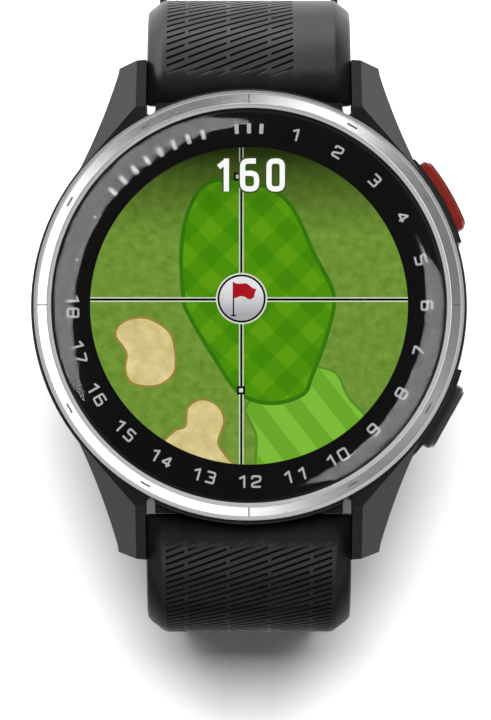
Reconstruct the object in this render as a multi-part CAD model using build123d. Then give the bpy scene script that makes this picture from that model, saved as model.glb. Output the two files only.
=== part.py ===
from build123d import *
import os
from math import cos, radians, sin, sqrt

# A round golf GPS watch on a two-piece silicone strap, unbuckled and curled under the case.
# Millimetres. +Z points out of the dial, +Y to 12 o'clock, +X to 3 o'clock, where the buttons are.
# The origin is the centre of the case back, so z = 0 is the case back's plane.

# ---- case, heights above the case back ----
CASE_R = 21.9
CASE_FOOT_Z = 0.9
CASE_TOP_Z = 9.7
CAVITY_R = 17.6
CAVITY_FLOOR_Z = 1.7
SHELF_R = 18.1
SHELF_Z = 8.2
COVER_SEAT_R = 19.55
BOSS_R = 1.5
BOSS_PITCH_R = 16.4
BOSS_TOP_Z = 7.0
BOSS_ANGLES = (45, 135, 225, 315)

# ---- bezel, lens and the ring printed under it ----
BEZEL_OUT_R = 21.55
BEZEL_FACE_OUT_R = 21.2
BEZEL_FACE_IN_R = 20.25
BEZEL_IN_R = 19.75
BEZEL_TOP_Z = 11.4
BEZEL_FALL = 0.1
SKIRT_R = (20.3, 20.9)
SKIRT_DEPTH = 0.8
MARK_R = 20.72
MARK_DEPTH = 0.15
LENS_R = 19.6
LENS_FLAT_R = 18.1
LENS_TOP_Z = 11.3
LENS_EDGE_DROP = 0.35
LENS_BASE_Z = 10.03
PRINT_Z = 9.95
WINDOW_R = 15.95
GASKET_R = (18.2, 19.4)

# ---- display and electronics ----
DISPLAY_R = 16.9
DISPLAY_Z = (8.6, 9.9)
BOARD_R = 17.2
BOARD_Z = (BOSS_TOP_Z, 7.7)
BATTERY_X = (-13.5, 8.0)
BATTERY_HALF_Y = 9.5
BATTERY_Z = (1.75, 5.2)
MOTOR_X = 12.2
MOTOR_R = 3.9
ANTENNA_R = (13.4, 15.0)
SOCKET_Y = -12.6
SOCKET_SIZE = (8.0, 3.6)
CONTACT_PITCH = 1.7

# ---- screws ----
BACK_SCREW_R = 0.6
BACK_HEAD_R = 1.2
BACK_HEAD_Z = (0.25, 0.75)
BACK_SCREW_END_Z = 3.9
CHASSIS_SCREW_R = 0.5
CHASSIS_HEAD_R = 1.05
CHASSIS_HEAD_H = 0.4
CHASSIS_SCREW_END_Z = 5.3

# ---- lugs, measured outwards from the dial's centre line ----
LUG_GAP_X = 10.4
LUG_STRIP_X = 11.4
LUG_TIP_Y = 25.4
LUG_BREAK_Y = 20.1
LUG_TIP_Z = (2.8, 4.76)
BLOCK_X = 9.45
BLOCK_Y = 20.7
BLOCK_TOP_Z = 7.6
OVERHANG_Z = 6.9
SLOT_ROOT_Y = 19.75
HEAD_RELIEF_R = 2.6

# ---- strap bars: quick-release spring bars in the lugs ----
BAR_Y = 23.2
BAR_Z = 3.6
BAR_HOLE_R = 0.55
BAR_HOLE_DEPTH = 1.1
BAR_PIN_R = 0.5
BAR_PIN_TIP_X = 11.2
TUBE_R = (0.52, 0.75)
TUBE_HALF = 9.7
HEAD_BORE_R = 0.8
KNOB_X = 6.9
KNOB_R = 0.55
KNOB_REACH = 2.5
RELEASE_TRAVEL = 1.0
BAR_SPRING_X = (1.0, 5.0)

# ---- straps ----
STRAP_HALF_W = 10.25
STRAP_END_HALF_W = 8.6
TAPER_Z = (-3.0, -17.0)
STRAP_T = 3.2
HEAD_R = 2.4
HEAD_INNER = 1.9
LEAVE_ANGLE = 25
LEAVE_RUN = 1.4
SHOULDER_R = 12.5
FLOOR_Z = -60.0
BUCKLE_SIDE_DROP_Z = -30.0
BUCKLE_SIDE_BEND_R = 16.6
BUCKLE_SIDE_RUN = 2.0
TAIL_BEND_R = 16.0
TAIL_RUN = 41.0
TAIL_TIP_DEPTH = 5.0
HOLE_SIZE = (2.6, 2.0)
HOLE_PITCH = 5.5
HOLE_COUNT = 13
FIRST_HOLE = 13.0

# ---- buckle, tongue and keepers ----
EYE_R = 2.0
BUCKLE_PIN_R = 0.75
ARM_GAP = 0.3
ARM_W = 1.8
ARM_TAIL = 1.6
FRAME_T = 2.6
FRONT_BAR_Y = (7.7, 9.9)
NOTCH_DEPTH = 0.5
TONGUE_HALF_W = 1.1
TONGUE_R = 1.6
TONGUE_T = 1.2
TONGUE_REACH = 9.0
TONGUE_SLOT_HALF_W = 1.5
TONGUE_SLOT_RUN = 5.0
KEEPER_WALL = 0.7
KEEPER_W = 5.5
KEEPER_SIDE_GAP = 0.2
KEEPER_TAIL_ROOM = 3.7
KEEPER_FIXED_TURN = 45
KEEPER_FREE_Z = -23.5

# ---- buttons, measured along the button's own inward-pointing radius ----
BUTTON_ANGLES = {"upper": 30.0, "lower": -29.3}
BUTTON_Z = 6.0
GUARD_R = 22.35
GUARD_SPAN = (16.8, 41.7)
GUARD_Z = (2.9, 9.1)
CAP_SIZE = {"upper": (7.9, 3.5), "lower": (7.0, 3.3)}
CAP_CORNER_R = 1.1
CAP_GAP = 0.15
CAP_INNER = 20.9
CAP_OUTER = {"upper": 23.5, "lower": 23.15}
POCKET_FLOOR = 20.2
SPRING_SEAT = 19.3
SPRING_SEAT_R = 1.55
STEM_R = 0.75
STEM_BORE_R = 0.8
STEM_END = 16.6
SEAL_AT = (18.2, 18.7)
SEAL_CORE_R = 0.45
CLIP_AT = (17.2, 17.42)
CLIP_R = 1.2
CLIP_CORE_R = 0.5
SWITCH_AT = (13.6, 15.7)
PLUNGER_END = 16.05

BASE = (Align.CENTER, Align.CENTER, Align.MIN)


# ---- shared shapes ----


def turned(*outline):
    """A solid turned about Z from an outline of (radius, height) points."""
    return revolve(Plane.XZ * make_face(Polyline(*outline, close=True)), Axis.Z)


def disc(radius, z0, z1):
    return Pos(0, 0, z0) * Cylinder(radius, z1 - z0, align=BASE)


def ring(radii, z0, z1):
    return disc(radii[1], z0, z1) - disc(radii[0], z0 - 1, z1 + 1)


def block(x, y, z):
    """A box between the two values of each of x, y and z."""
    middle = [(lo + hi) / 2 for lo, hi in (x, y, z)]
    return Pos(*middle) * Box(x[1] - x[0], y[1] - y[0], z[1] - z[0])


def rod_x(radius, x, y, z):
    """A round bar along X between the two values of x."""
    return Pos(x[0], y, z) * Rot(0, 90, 0) * Cylinder(radius, x[1] - x[0], align=BASE)


def post(radius, x, y, z0, z1):
    return Pos(x, y, z0) * Cylinder(radius, z1 - z0, align=BASE)


def coil(radius, wire_r, length, turns):
    """An open helical spring standing on the local XY plane."""
    path = Helix(pitch=(length - 2 * wire_r) / turns, height=length - 2 * wire_r, radius=radius)
    section = Plane(origin=path @ 0, z_dir=path % 0) * Circle(wire_r)
    return Pos(0, 0, wire_r) * sweep(section, path=path)


def around(solid):
    """The solid copied to the four lug corners by mirroring."""
    pair = solid + mirror(solid, Plane.YZ)
    return pair + mirror(pair, Plane.XZ)


def boss_points():
    return [(BOSS_PITCH_R * cos(radians(a)), BOSS_PITCH_R * sin(radians(a))) for a in BOSS_ANGLES]


# ---- buttons ----


def button_frame(angle):
    """Local Z runs outwards along the button's radius, local X along the case wall, local Y up."""
    a = radians(angle)
    return Plane(origin=(0, 0, BUTTON_Z), x_dir=(-sin(a), cos(a), 0), z_dir=(cos(a), sin(a), 0))


def button_shaft(angle, radius, along):
    """A round shaft on the button's radius between the two distances from the dial's axis."""
    shaft = Cylinder(radius, along[1] - along[0], align=BASE)
    return button_frame(angle) * Pos(0, 0, along[0]) * shaft


def button_cap(side):
    frame = button_frame(BUTTON_ANGLES[side])
    outline = RectangleRounded(*CAP_SIZE[side], CAP_CORNER_R)
    if side == "lower":
        bar = extrude(outline, CAP_OUTER[side] - CAP_INNER)
        bar = chamfer(bar.edges().group_by(Axis.Z)[-1], 0.4)
        return frame * Pos(0, 0, CAP_INNER) * bar
    bar = frame * Pos(0, 0, CAP_INNER) * extrude(outline, 4)
    cap = bar & disc(CAP_OUTER[side], 0, 12)
    rim = [edge for edge in cap.edges() if on_face(edge, CAP_OUTER[side])]
    return chamfer(rim, 0.4)


def on_face(edge, radius):
    """True if an edge lies on the cylinder of this radius about the dial's axis."""
    points = [edge @ t for t in (0, 0.5, 1)]
    return all(abs(sqrt(p.X**2 + p.Y**2) - radius) < 0.01 for p in points)


def button_parts(side):
    angle = BUTTON_ANGLES[side]
    stem = button_shaft(angle, STEM_R, (STEM_END, CAP_INNER))
    for along, core in ((SEAL_AT, SEAL_CORE_R), (CLIP_AT, CLIP_CORE_R)):
        groove = button_shaft(angle, STEM_R + 1, along) - button_shaft(angle, core, along)
        stem -= groove
    seal = button_shaft(angle, STEM_BORE_R - 0.02, SEAL_AT)
    seal -= button_shaft(angle, SEAL_CORE_R, SEAL_AT)
    clip = button_shaft(angle, CLIP_R, CLIP_AT) - button_shaft(angle, CLIP_CORE_R, CLIP_AT)
    clip -= button_frame(angle) * Pos(0, -CLIP_R, CLIP_AT[0]) * Box(0.8, 2 * CLIP_R, 1)
    spring = coil(1.25, 0.13, CAP_INNER - SPRING_SEAT, 2.75)
    switch = button_frame(angle) * block((-2, 2), (-1, 1), SWITCH_AT)
    switch += button_frame(angle) * block((-0.7, 0.7), (-0.5, 0.5), (SWITCH_AT[1], PLUNGER_END))
    return {
        f"{side}_button_cap": button_cap(side),
        f"{side}_button_stem": stem,
        f"{side}_button_seal": seal,
        f"{side}_button_clip": clip,
        f"{side}_button_spring": button_frame(angle) * Pos(0, 0, SPRING_SEAT) * spring,
        f"{side}_button_switch": switch,
    }


def button_guard(side):
    low, high = GUARD_SPAN if side == "upper" else (-GUARD_SPAN[1], -GUARD_SPAN[0])
    z0, z1 = GUARD_Z
    outline = Polyline(
        (20, z0 - 1),
        (CASE_R, z0 - 0.9),
        (GUARD_R, z0),
        (GUARD_R, z1),
        (CASE_R - 0.2, z1 + 0.5),
        (20, z1 + 0.5),
        close=True,
    )
    face = Plane.XZ * make_face(outline)
    return Rot(0, 0, low) * revolve(face, Axis.Z, high - low)


def button_pocket(side):
    """The pocket the cap sinks into, the seat of its spring and the bore of its stem."""
    angle = BUTTON_ANGLES[side]
    length, height = CAP_SIZE[side]
    mouth = RectangleRounded(length + 2 * CAP_GAP, height + 2 * CAP_GAP, CAP_CORNER_R + CAP_GAP)
    pocket = button_frame(angle) * Pos(0, 0, POCKET_FLOOR) * extrude(mouth, 5)
    pocket += button_shaft(angle, SPRING_SEAT_R, (SPRING_SEAT, POCKET_FLOOR + 0.1))
    return pocket + button_shaft(angle, STEM_BORE_R, (CAVITY_R - 1.5, SPRING_SEAT + 0.1))


# ---- case ----


def lug():
    """The right-hand lug at 12 o'clock: a flat strip beside the strap, and a facet that falls outwards."""
    root_y = 7.6
    neck, root = (13.3, 23.9), (20.35, root_y)
    tip = (LUG_STRIP_X, LUG_TIP_Y - 0.1)
    outline = make_face(
        Polyline(neck, (13.2, 24.6), tip, (LUG_GAP_X, LUG_TIP_Y), (LUG_GAP_X, root_y), root)
        + ThreePointArc(root, (16.25, 15.5), neck)
    )
    plan = extrude(outline, 12)
    side = Polyline(
        (root_y, CASE_FOOT_Z),
        (22.6, CASE_FOOT_Z),
        (LUG_TIP_Y - 0.6, CASE_FOOT_Z + 0.5),
        (LUG_TIP_Y, LUG_TIP_Z[0]),
        (LUG_TIP_Y, LUG_TIP_Z[1]),
        (LUG_BREAK_Y, CASE_TOP_Z),
        (root_y, CASE_TOP_Z),
        close=True,
    )
    fall = (CASE_TOP_Z - LUG_TIP_Z[1]) / (LUG_TIP_Y - LUG_BREAK_Y)
    facet = Plane(origin=(LUG_STRIP_X, LUG_BREAK_Y, CASE_TOP_Z), z_dir=(1.15 * fall, fall, 1))
    blank = plan & (Pos(5, 0, 0) * extrude(Plane.YZ * make_face(side), 20))
    blank -= facet * Box(80, 80, 20, align=BASE)
    under = Plane(origin=(13.3, 24.4, 2.6), z_dir=(0.9, 0.45, -1))
    return blank - under * Box(80, 80, 20, align=BASE)


def strap_recess():
    """Space between the lugs at 12 o'clock: round the strap head, before the block and beside it."""
    far = LUG_TIP_Y + 2
    head = rod_x(HEAD_RELIEF_R, (-LUG_GAP_X, LUG_GAP_X), BAR_Y, BAR_Z)
    below = block((-LUG_GAP_X, LUG_GAP_X), (BAR_Y - HEAD_RELIEF_R, far), (-1, BAR_Z))
    front = block((-LUG_GAP_X, LUG_GAP_X), (BLOCK_Y, far), (-1, OVERHANG_Z))
    outside = block((-LUG_GAP_X, LUG_GAP_X), (CASE_R, far), (-1, 12))
    slot_x = (BLOCK_X + LUG_GAP_X) / 2
    slot_r = (LUG_GAP_X - BLOCK_X) / 2
    slot = block((BLOCK_X, LUG_GAP_X), (SLOT_ROOT_Y, far), (-1, 12))
    slot += post(slot_r, slot_x, SLOT_ROOT_Y, -1, 12)
    return head + below + front + outside + slot + mirror(slot, Plane.YZ)


def case_middle():
    shell = turned(
        (0, CASE_FOOT_Z),
        (20.3, CASE_FOOT_Z),
        (21.6, 2.2),
        (CASE_R, 3.4),
        (CASE_R, CASE_TOP_Z - 0.15),
        (CASE_R - 0.15, CASE_TOP_Z),
        (0, CASE_TOP_Z),
    )
    bar_block = block((-BLOCK_X, BLOCK_X), (16, BLOCK_Y), (CASE_FOOT_Z, BLOCK_TOP_Z))
    shell += around(lug())
    shell += bar_block + mirror(bar_block, Plane.XZ)
    shell += button_guard("upper") + button_guard("lower")
    recess = strap_recess()
    shell -= recess
    shell -= mirror(recess, Plane.XZ)
    shell -= disc(COVER_SEAT_R, -1, CAVITY_FLOOR_Z) + disc(CAVITY_R, 1, 12) + disc(SHELF_R, SHELF_Z, 12)
    shell -= ring((18.3, 19.1), CAVITY_FLOOR_Z - 0.5, 2.3)
    shell -= ring(SKIRT_R, CASE_TOP_Z - SKIRT_DEPTH, CASE_TOP_Z + 1)
    for x, y in boss_points():
        shell += post(BOSS_R, x, y, CAVITY_FLOOR_Z, BOSS_TOP_Z)
        shell -= post(BACK_SCREW_R, x, y, 0, BACK_SCREW_END_Z + 0.2)
        shell -= post(CHASSIS_SCREW_R, x, y, CHASSIS_SCREW_END_Z - 0.1, BOSS_TOP_Z + 1)
    shell -= button_pocket("upper") + button_pocket("lower")
    bore = rod_x(BAR_HOLE_R, (LUG_GAP_X - 1, LUG_GAP_X + BAR_HOLE_DEPTH), BAR_Y, BAR_Z)
    return shell - around(bore)


def bezel():
    body = turned(
        (BEZEL_IN_R, CASE_TOP_Z),
        (BEZEL_OUT_R, CASE_TOP_Z),
        (BEZEL_OUT_R, BEZEL_TOP_Z - BEZEL_FALL - 0.2),
        (BEZEL_FACE_OUT_R, BEZEL_TOP_Z - BEZEL_FALL),
        (BEZEL_FACE_IN_R, BEZEL_TOP_Z),
        (BEZEL_IN_R + 0.05, BEZEL_TOP_Z - 0.4),
        (BEZEL_IN_R, BEZEL_TOP_Z - 0.5),
    )
    body += ring(SKIRT_R, CASE_TOP_Z - SKIRT_DEPTH + 0.05, CASE_TOP_Z)
    for hour in range(12):
        quarter = hour % 3 == 0
        length, width = (0.9, 0.14) if quarter else (0.22, 1.1)
        mark = Pos(MARK_R, 0, BEZEL_TOP_Z - BEZEL_FALL / 2) * Box(length, width, 2 * MARK_DEPTH)
        body -= Rot(0, 0, 30 * hour) * mark
    return body


def lens():
    edge_z = LENS_TOP_Z - LENS_EDGE_DROP
    outline = (
        Polyline((0, LENS_TOP_Z), (0, LENS_BASE_Z), (LENS_R, LENS_BASE_Z), (LENS_R, edge_z - 0.1))
        + Polyline((LENS_R, edge_z - 0.1), (LENS_R - 0.12, edge_z))
        + ThreePointArc((LENS_R - 0.12, edge_z), (18.95, LENS_TOP_Z - 0.1), (LENS_FLAT_R, LENS_TOP_Z))
        + Line((LENS_FLAT_R, LENS_TOP_Z), (0, LENS_TOP_Z))
    )
    return revolve(Plane.XZ * make_face(outline), Axis.Z)


def back_cover():
    cover = turned(
        (0, 0),
        (18.3, 0),
        (COVER_SEAT_R - 0.15, CASE_FOOT_Z),
        (COVER_SEAT_R - 0.15, CAVITY_FLOOR_Z),
        (0, CAVITY_FLOOR_Z),
    )
    for x, y in boss_points():
        cover -= post(BACK_HEAD_R + 0.1, x, y, -1, BACK_HEAD_Z[1])
        cover -= post(BACK_SCREW_R + 0.1, x, y, 0, 3)
    return cover - Pos(0, SOCKET_Y, -1) * extrude(SlotOverall(*SOCKET_SIZE), 4)


def back_screws():
    screws = []
    for x, y in boss_points():
        screw = post(BACK_HEAD_R, x, y, *BACK_HEAD_Z)
        screw += post(BACK_SCREW_R, x, y, BACK_HEAD_Z[1], BACK_SCREW_END_Z)
        for size in ((1.4, 0.3), (0.3, 1.4)):
            screw -= Pos(x, y, BACK_HEAD_Z[0]) * Box(*size, 0.5)
        screws.append(screw)
    return Compound(screws)


def chassis_screws():
    top = BOARD_Z[1]
    screws = []
    for x, y in boss_points():
        screw = post(CHASSIS_HEAD_R, x, y, top, top + CHASSIS_HEAD_H)
        screw += post(CHASSIS_SCREW_R, x, y, CHASSIS_SCREW_END_Z, top)
        screws.append(screw - Pos(x, y, top + CHASSIS_HEAD_H) * Box(1.3, 0.25, 0.3))
    return Compound(screws)


def charging_socket():
    length, width = SOCKET_SIZE
    cup = Pos(0, SOCKET_Y, 0.1) * extrude(SlotOverall(length, width), 2.3)
    cup -= Pos(0, SOCKET_Y, -1) * extrude(SlotOverall(length - 1, width - 1), 2.5)
    for x in contact_places():
        cup -= post(0.4, x, SOCKET_Y, 1, 3)
    return cup


def contact_places():
    return [CONTACT_PITCH * (i - 1.5) for i in range(4)]


def charging_contacts():
    return Compound([post(0.4, x, SOCKET_Y, 0.8, 3.0) for x in contact_places()])


# ---- inside ----


def display_frame():
    """A tray on the case's shelf that holds the display up to the lens."""
    plate = ring((12, SHELF_R - 0.1), SHELF_Z, DISPLAY_Z[0])
    rim = ring((DISPLAY_R + 0.15, SHELF_R - 0.1), DISPLAY_Z[0], 9.6)
    slot = block((-4, 4), (-15.2, -11), (SHELF_Z - 1, DISPLAY_Z[0]))
    return plate + rim - slot


def display_flex():
    """The display's flat cable: from under the panel, down through the tray and onto the board."""
    fold = Polyline(
        (-11.2, 8.48), (-13.9, 8.48), (-13.9, 8.07), (-11.6, 8.07), (-11.6, 7.95),
        (-14.02, 7.95), (-14.02, 8.6), (-11.2, 8.6), close=True,
    )
    return Pos(-3, 0, 0) * extrude(Plane.YZ * make_face(fold), 6)


def main_board():
    board = disc(BOARD_R, *BOARD_Z)
    for x, y in boss_points():
        board -= post(CHASSIS_SCREW_R + 0.1, x, y, 6, 9)
    for angle in BUTTON_ANGLES.values():
        board -= button_frame(angle) * block((-2, 2), (-1, 3), (16.1, 19))
    return board


def board_shields():
    """Two pressed cans on the underside of the board, open towards it."""
    cans = []
    for x, y in (((-12, -2), (-4, 6)), ((0, 7), (-5, 3))):
        can = block(x, y, (5.6, BOARD_Z[0]))
        can -= block((x[0] + 0.2, x[1] - 0.2), (y[0] + 0.2, y[1] - 0.2), (5.8, BOARD_Z[0] + 1))
        cans.append(can)
    return Compound(cans)


def board_chips():
    """The flat cable's connector, then the satellite receiver, radio, memory and power chips."""
    top = BOARD_Z[1]
    places = (
        ((-3.2, 3.2), (-13.6, -11.9), 0.25),
        ((-9, -4), (2, 7), 0.4),
        ((1, 7), (3, 9), 0.4),
        ((-6, -1), (-6, -2), 0.35),
        ((4, 8), (-5, -1), 0.35),
    )
    return Compound([block(x, y, (top, top + height)) for x, y, height in places])


def battery():
    cell = block(BATTERY_X, (-BATTERY_HALF_Y, BATTERY_HALF_Y), BATTERY_Z)
    return fillet(cell.edges().filter_by(Axis.Z), 1.5)


def battery_lead():
    """Two insulated wires from the cell's end up to the board."""
    wires = []
    for y in (-0.9, 0.9):
        start = Vector(BATTERY_X[0], y, 3.4)
        corner = start - Vector(1.9, 0, 0)
        route = FilletPolyline(start, corner, Vector(corner.X, y, BOARD_Z[0]), radius=0.85)
        section = Plane(origin=route @ 0, z_dir=route % 0) * Circle(0.35)
        wires.append(sweep(section, path=route))
    return Compound(wires)


def vibration_motor():
    can = post(MOTOR_R, MOTOR_X, 0, CAVITY_FLOOR_Z, 4.4)
    return chamfer(can.edges().group_by(Axis.Z)[-1], 0.3)


def gnss_antenna():
    """An open metal ring over the board, on four feet, with its gap at the flat cable."""
    top = BOARD_Z[1]
    strip = ring(ANTENNA_R, top + 0.2, top + 0.4) - block((-5, 5), (-20, 0), (6, 10))
    for angle in (20, 90, 160, 230):
        foot = block((ANTENNA_R[0] + 0.2, ANTENNA_R[1] - 0.2), (-0.8, 0.8), (top, top + 0.2))
        strip += Rot(0, 0, angle) * foot
    return strip


# ---- straps, drawn in the plane of Y and Z for the half at 12 o'clock ----


def leaving():
    """Where the strap's outer face leaves the lugs, its direction there and its outward normal."""
    a = radians(LEAVE_ANGLE)
    along = Vector(cos(a), -sin(a))
    outward = Vector(sin(a), cos(a))
    return Vector(BAR_Y, BAR_Z) + outward * HEAD_R, along, outward


def face_line(depth, drop_z, bend_r, run):
    """A face of the strap, this deep below the outer one: shoulder, straight drop, inward bend and run."""
    start, along, outward = leaving()
    begin = start + along * LEAVE_RUN - outward * depth
    shoulder = JernArc(begin, along, SHOULDER_R - depth, -(90 - LEAVE_ANGLE))
    drop = Line(shoulder @ 1, ((shoulder @ 1).X, drop_z))
    bend = JernArc(drop @ 1, (0, -1), bend_r - depth, -90)
    flat = Line(bend @ 1, bend @ 1 - Vector(run, 0))
    return shoulder + drop + bend + flat


def strap_blank(drop_z, bend_r, run):
    """The strap's side outline, extruded to its full width and tapered towards its free end."""
    start, _, outward = leaving()
    outer = face_line(0, drop_z, bend_r, run)
    inner = face_line(STRAP_T, drop_z, bend_r, run)
    bar = Vector(BAR_Y, BAR_Z)
    outline = (
        outer
        + Line(outer @ 1, inner @ 1)
        + inner
        + Polyline(inner @ 0, bar - outward * HEAD_INNER, bar, start, outer @ 0)
    )
    band = extrude(Plane.YZ * make_face(outline), STRAP_HALF_W, both=True)
    band += rod_x(HEAD_R, (-STRAP_HALF_W, STRAP_HALF_W), BAR_Y, BAR_Z)
    side = Polyline(
        (STRAP_HALF_W, TAPER_Z[0]),
        (STRAP_END_HALF_W, TAPER_Z[1]),
        (STRAP_END_HALF_W, FLOOR_Z - 5),
        (STRAP_HALF_W + 5, FLOOR_Z - 5),
        (STRAP_HALF_W + 5, TAPER_Z[0]),
        close=True,
    )
    waste = Pos(0, 60, 0) * extrude(Plane.XZ * make_face(side), 120)
    band -= waste
    return band - mirror(waste, Plane.YZ)


def bar_bore():
    """The bar's bore through the strap head and the knob's slot in the face that lies on the wrist."""
    bore = rod_x(HEAD_BORE_R, (-STRAP_HALF_W - 1, STRAP_HALF_W + 1), BAR_Y, BAR_Z)
    return bore + knob_slot(0.3, 0.3)


def knob_slot(end_gap, side_gap):
    """The space that the knob sweeps as it slides, with room at its ends and sides."""
    x = (KNOB_X - RELEASE_TRAVEL - KNOB_R - end_gap, KNOB_X + KNOB_R + end_gap)
    side = KNOB_R + side_gap
    return knob_frame() * block(x, (-side, side), (-4, 0))


def knob_frame():
    """At the bar, local X along the bar and local Z along the strap head's outward normal."""
    outward = leaving()[2]
    return Plane(origin=(0, BAR_Y, BAR_Z), x_dir=(1, 0, 0), z_dir=(0, outward.X, outward.Y))


def bar_parts(side):
    """A quick-release bar: tube, fixed pin, sliding pin with its knob, and the spring between them."""
    tube = rod_x(TUBE_R[1], (-TUBE_HALF, TUBE_HALF), BAR_Y, BAR_Z)
    tube -= rod_x(TUBE_R[0], (-TUBE_HALF - 1, TUBE_HALF + 1), BAR_Y, BAR_Z)
    tube -= knob_slot(0.2, 0.08)
    fixed = rod_x(BAR_PIN_R, (-BAR_PIN_TIP_X, -6), BAR_Y, BAR_Z)
    fixed += rod_x(TUBE_R[0], (-9.4, -6), BAR_Y, BAR_Z)
    pin = rod_x(BAR_PIN_R - 0.03, (BAR_SPRING_X[1], BAR_PIN_TIP_X), BAR_Y, BAR_Z)
    knob = Cylinder(KNOB_R - 0.1, KNOB_REACH, align=BASE)
    pin += knob_frame() * Pos(KNOB_X, 0, -KNOB_REACH) * knob
    spring = coil(0.36, 0.08, BAR_SPRING_X[1] - BAR_SPRING_X[0], 8)
    return {
        f"{side}_bar_tube": tube,
        f"{side}_fixed_pin": fixed,
        f"{side}_release_pin": pin,
        f"{side}_bar_spring": Pos(BAR_SPRING_X[0], BAR_Y, BAR_Z) * Rot(0, 90, 0) * spring,
    }


def buckle_place():
    """The buckle pin's centre: the middle of the strap at the end of its run."""
    outer = face_line(0, BUCKLE_SIDE_DROP_Z, BUCKLE_SIDE_BEND_R, BUCKLE_SIDE_RUN)
    end = outer @ 1
    return end.X, end.Y + STRAP_T / 2


def strap_buckle_side():
    y, z = buckle_place()
    band = strap_blank(BUCKLE_SIDE_DROP_Z, BUCKLE_SIDE_BEND_R, BUCKLE_SIDE_RUN)
    band += rod_x(EYE_R, (-STRAP_END_HALF_W, STRAP_END_HALF_W), y, z)
    band -= bar_bore()
    band -= rod_x(BUCKLE_PIN_R + 0.05, (-20, 20), y, z)
    slot_w = TONGUE_SLOT_HALF_W
    return band - block((-slot_w, slot_w), (y - 5, y + TONGUE_SLOT_RUN), (z - 6, z + 6))


def tail_drop_z():
    return FLOOR_Z + TAIL_BEND_R


def hole_frames():
    """Frames on the tail's middle surface, from the tip back, with local Z through the strap."""
    middle = Wire(face_line(STRAP_T / 2, tail_drop_z(), TAIL_BEND_R, TAIL_RUN).edges())
    frames = []
    for i in range(HOLE_COUNT):
        share = 1 - (FIRST_HOLE + i * HOLE_PITCH) / middle.length
        at = middle @ share
        heading = middle % share
        normal = (0, heading.Y, -heading.X)
        frames.append(Plane(origin=(0, at.X, at.Y), x_dir=(1, 0, 0), z_dir=normal))
    return frames


def strap_tail_side():
    band = strap_blank(tail_drop_z(), TAIL_BEND_R, TAIL_RUN)
    band -= bar_bore()
    tip = (face_line(0, tail_drop_z(), TAIL_BEND_R, TAIL_RUN) @ 1).X
    w = STRAP_END_HALF_W
    past = w + 2
    base = tip + TAIL_TIP_DEPTH
    corners = make_face(
        ThreePointArc((-w, base), (0, tip), (w, base))
        + Polyline((w, base), (past, base), (past, tip - 2), (-past, tip - 2), (-past, base), (-w, base))
    )
    band -= Pos(0, 0, FLOOR_Z - 1) * extrude(corners, STRAP_T + 2)
    for frame in hole_frames():
        band -= frame * Pos(0, 0, -4) * extrude(SlotOverall(*HOLE_SIZE), 8)
    return band


def buckle_parts():
    y, z = buckle_place()
    inner_x = STRAP_END_HALF_W + ARM_GAP
    outer_x = inner_x + ARM_W
    near, far = y - FRONT_BAR_Y[0], y - FRONT_BAR_Y[1]
    lower_z, upper_z = z - FRAME_T / 2, z + FRAME_T / 2
    notch_x = TONGUE_HALF_W + 0.25
    frame = block((-outer_x, outer_x), (far, y + ARM_TAIL), (lower_z, upper_z))
    frame = fillet(frame.edges().filter_by(Axis.Z), 1.2)
    frame -= block((-inner_x, inner_x), (near, y + 5), (lower_z - 1, upper_z + 1))
    frame -= rod_x(BUCKLE_PIN_R, (-20, 20), y, z)
    frame -= block((-notch_x, notch_x), (far - 1, near + 1), (lower_z - 1, lower_z + NOTCH_DEPTH))
    pin = rod_x(BUCKLE_PIN_R, (-outer_x + 0.2, outer_x - 0.2), y, z)
    return {"buckle_frame": frame, "buckle_pin": pin, "buckle_tongue": buckle_tongue(y, z)}


def buckle_tongue(y, z):
    """A loop round the buckle pin and a bar whose tip rests in the front bar's notch."""
    rest_z = z - FRAME_T / 2 + NOTCH_DEPTH - 0.05
    bar = Polyline(
        (y, z - TONGUE_R),
        (y - 6.6, rest_z - TONGUE_T),
        (y - TONGUE_REACH, rest_z - TONGUE_T + 0.35),
        (y - TONGUE_REACH, rest_z),
        (y - 6.6, rest_z),
        (y, z),
        close=True,
    )
    half = (-TONGUE_HALF_W, TONGUE_HALF_W)
    tongue = Pos(half[0], 0, 0) * extrude(Plane.YZ * make_face(bar), 2 * TONGUE_HALF_W)
    tongue += rod_x(TONGUE_R, half, y, z)
    return tongue - rod_x(BUCKLE_PIN_R + 0.05, (-3, 3), y, z)


def keeper(inner_gap):
    """A loop round the strap: local Z runs along the strap, local Y outwards from its middle surface."""
    side = STRAP_END_HALF_W + KEEPER_SIDE_GAP
    low = -STRAP_T / 2 - inner_gap
    high = STRAP_T / 2 + KEEPER_TAIL_ROOM
    hole = block((-side, side), (low, high), (-KEEPER_W, KEEPER_W))
    wall = KEEPER_WALL
    half = KEEPER_W / 2
    band = block((-side - wall, side + wall), (low - wall, high + wall), (-half, half))
    return fillet(band.edges().filter_by(Axis.Z), wall) - hole


def keepers():
    outer = face_line(0, BUCKLE_SIDE_DROP_Z, BUCKLE_SIDE_BEND_R, BUCKLE_SIDE_RUN)
    shoulder_end = JernArc(outer @ 0, leaving()[1], SHOULDER_R, -(90 - LEAVE_ANGLE)) @ 1
    middle_y = shoulder_end.X - STRAP_T / 2
    free = Pos(0, middle_y, KEEPER_FREE_Z) * keeper(0.3)
    turn = radians(KEEPER_FIXED_TURN)
    reach = BUCKLE_SIDE_BEND_R - STRAP_T / 2
    centre = Vector(0, middle_y - reach, BUCKLE_SIDE_DROP_Z)
    outward = Vector(0, cos(turn), -sin(turn))
    seat = Plane(origin=centre + outward * reach, x_dir=(1, 0, 0), z_dir=Vector(1, 0, 0).cross(outward))
    return {"keeper_free": free, "keeper_fixed": seat * keeper(0.45)}


# ---- the whole watch ----


def flipped(parts):
    """Parts drawn at 12 o'clock, mirrored to 6 o'clock."""
    return {name: mirror(solid, Plane.XZ) for name, solid in parts.items()}


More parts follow.
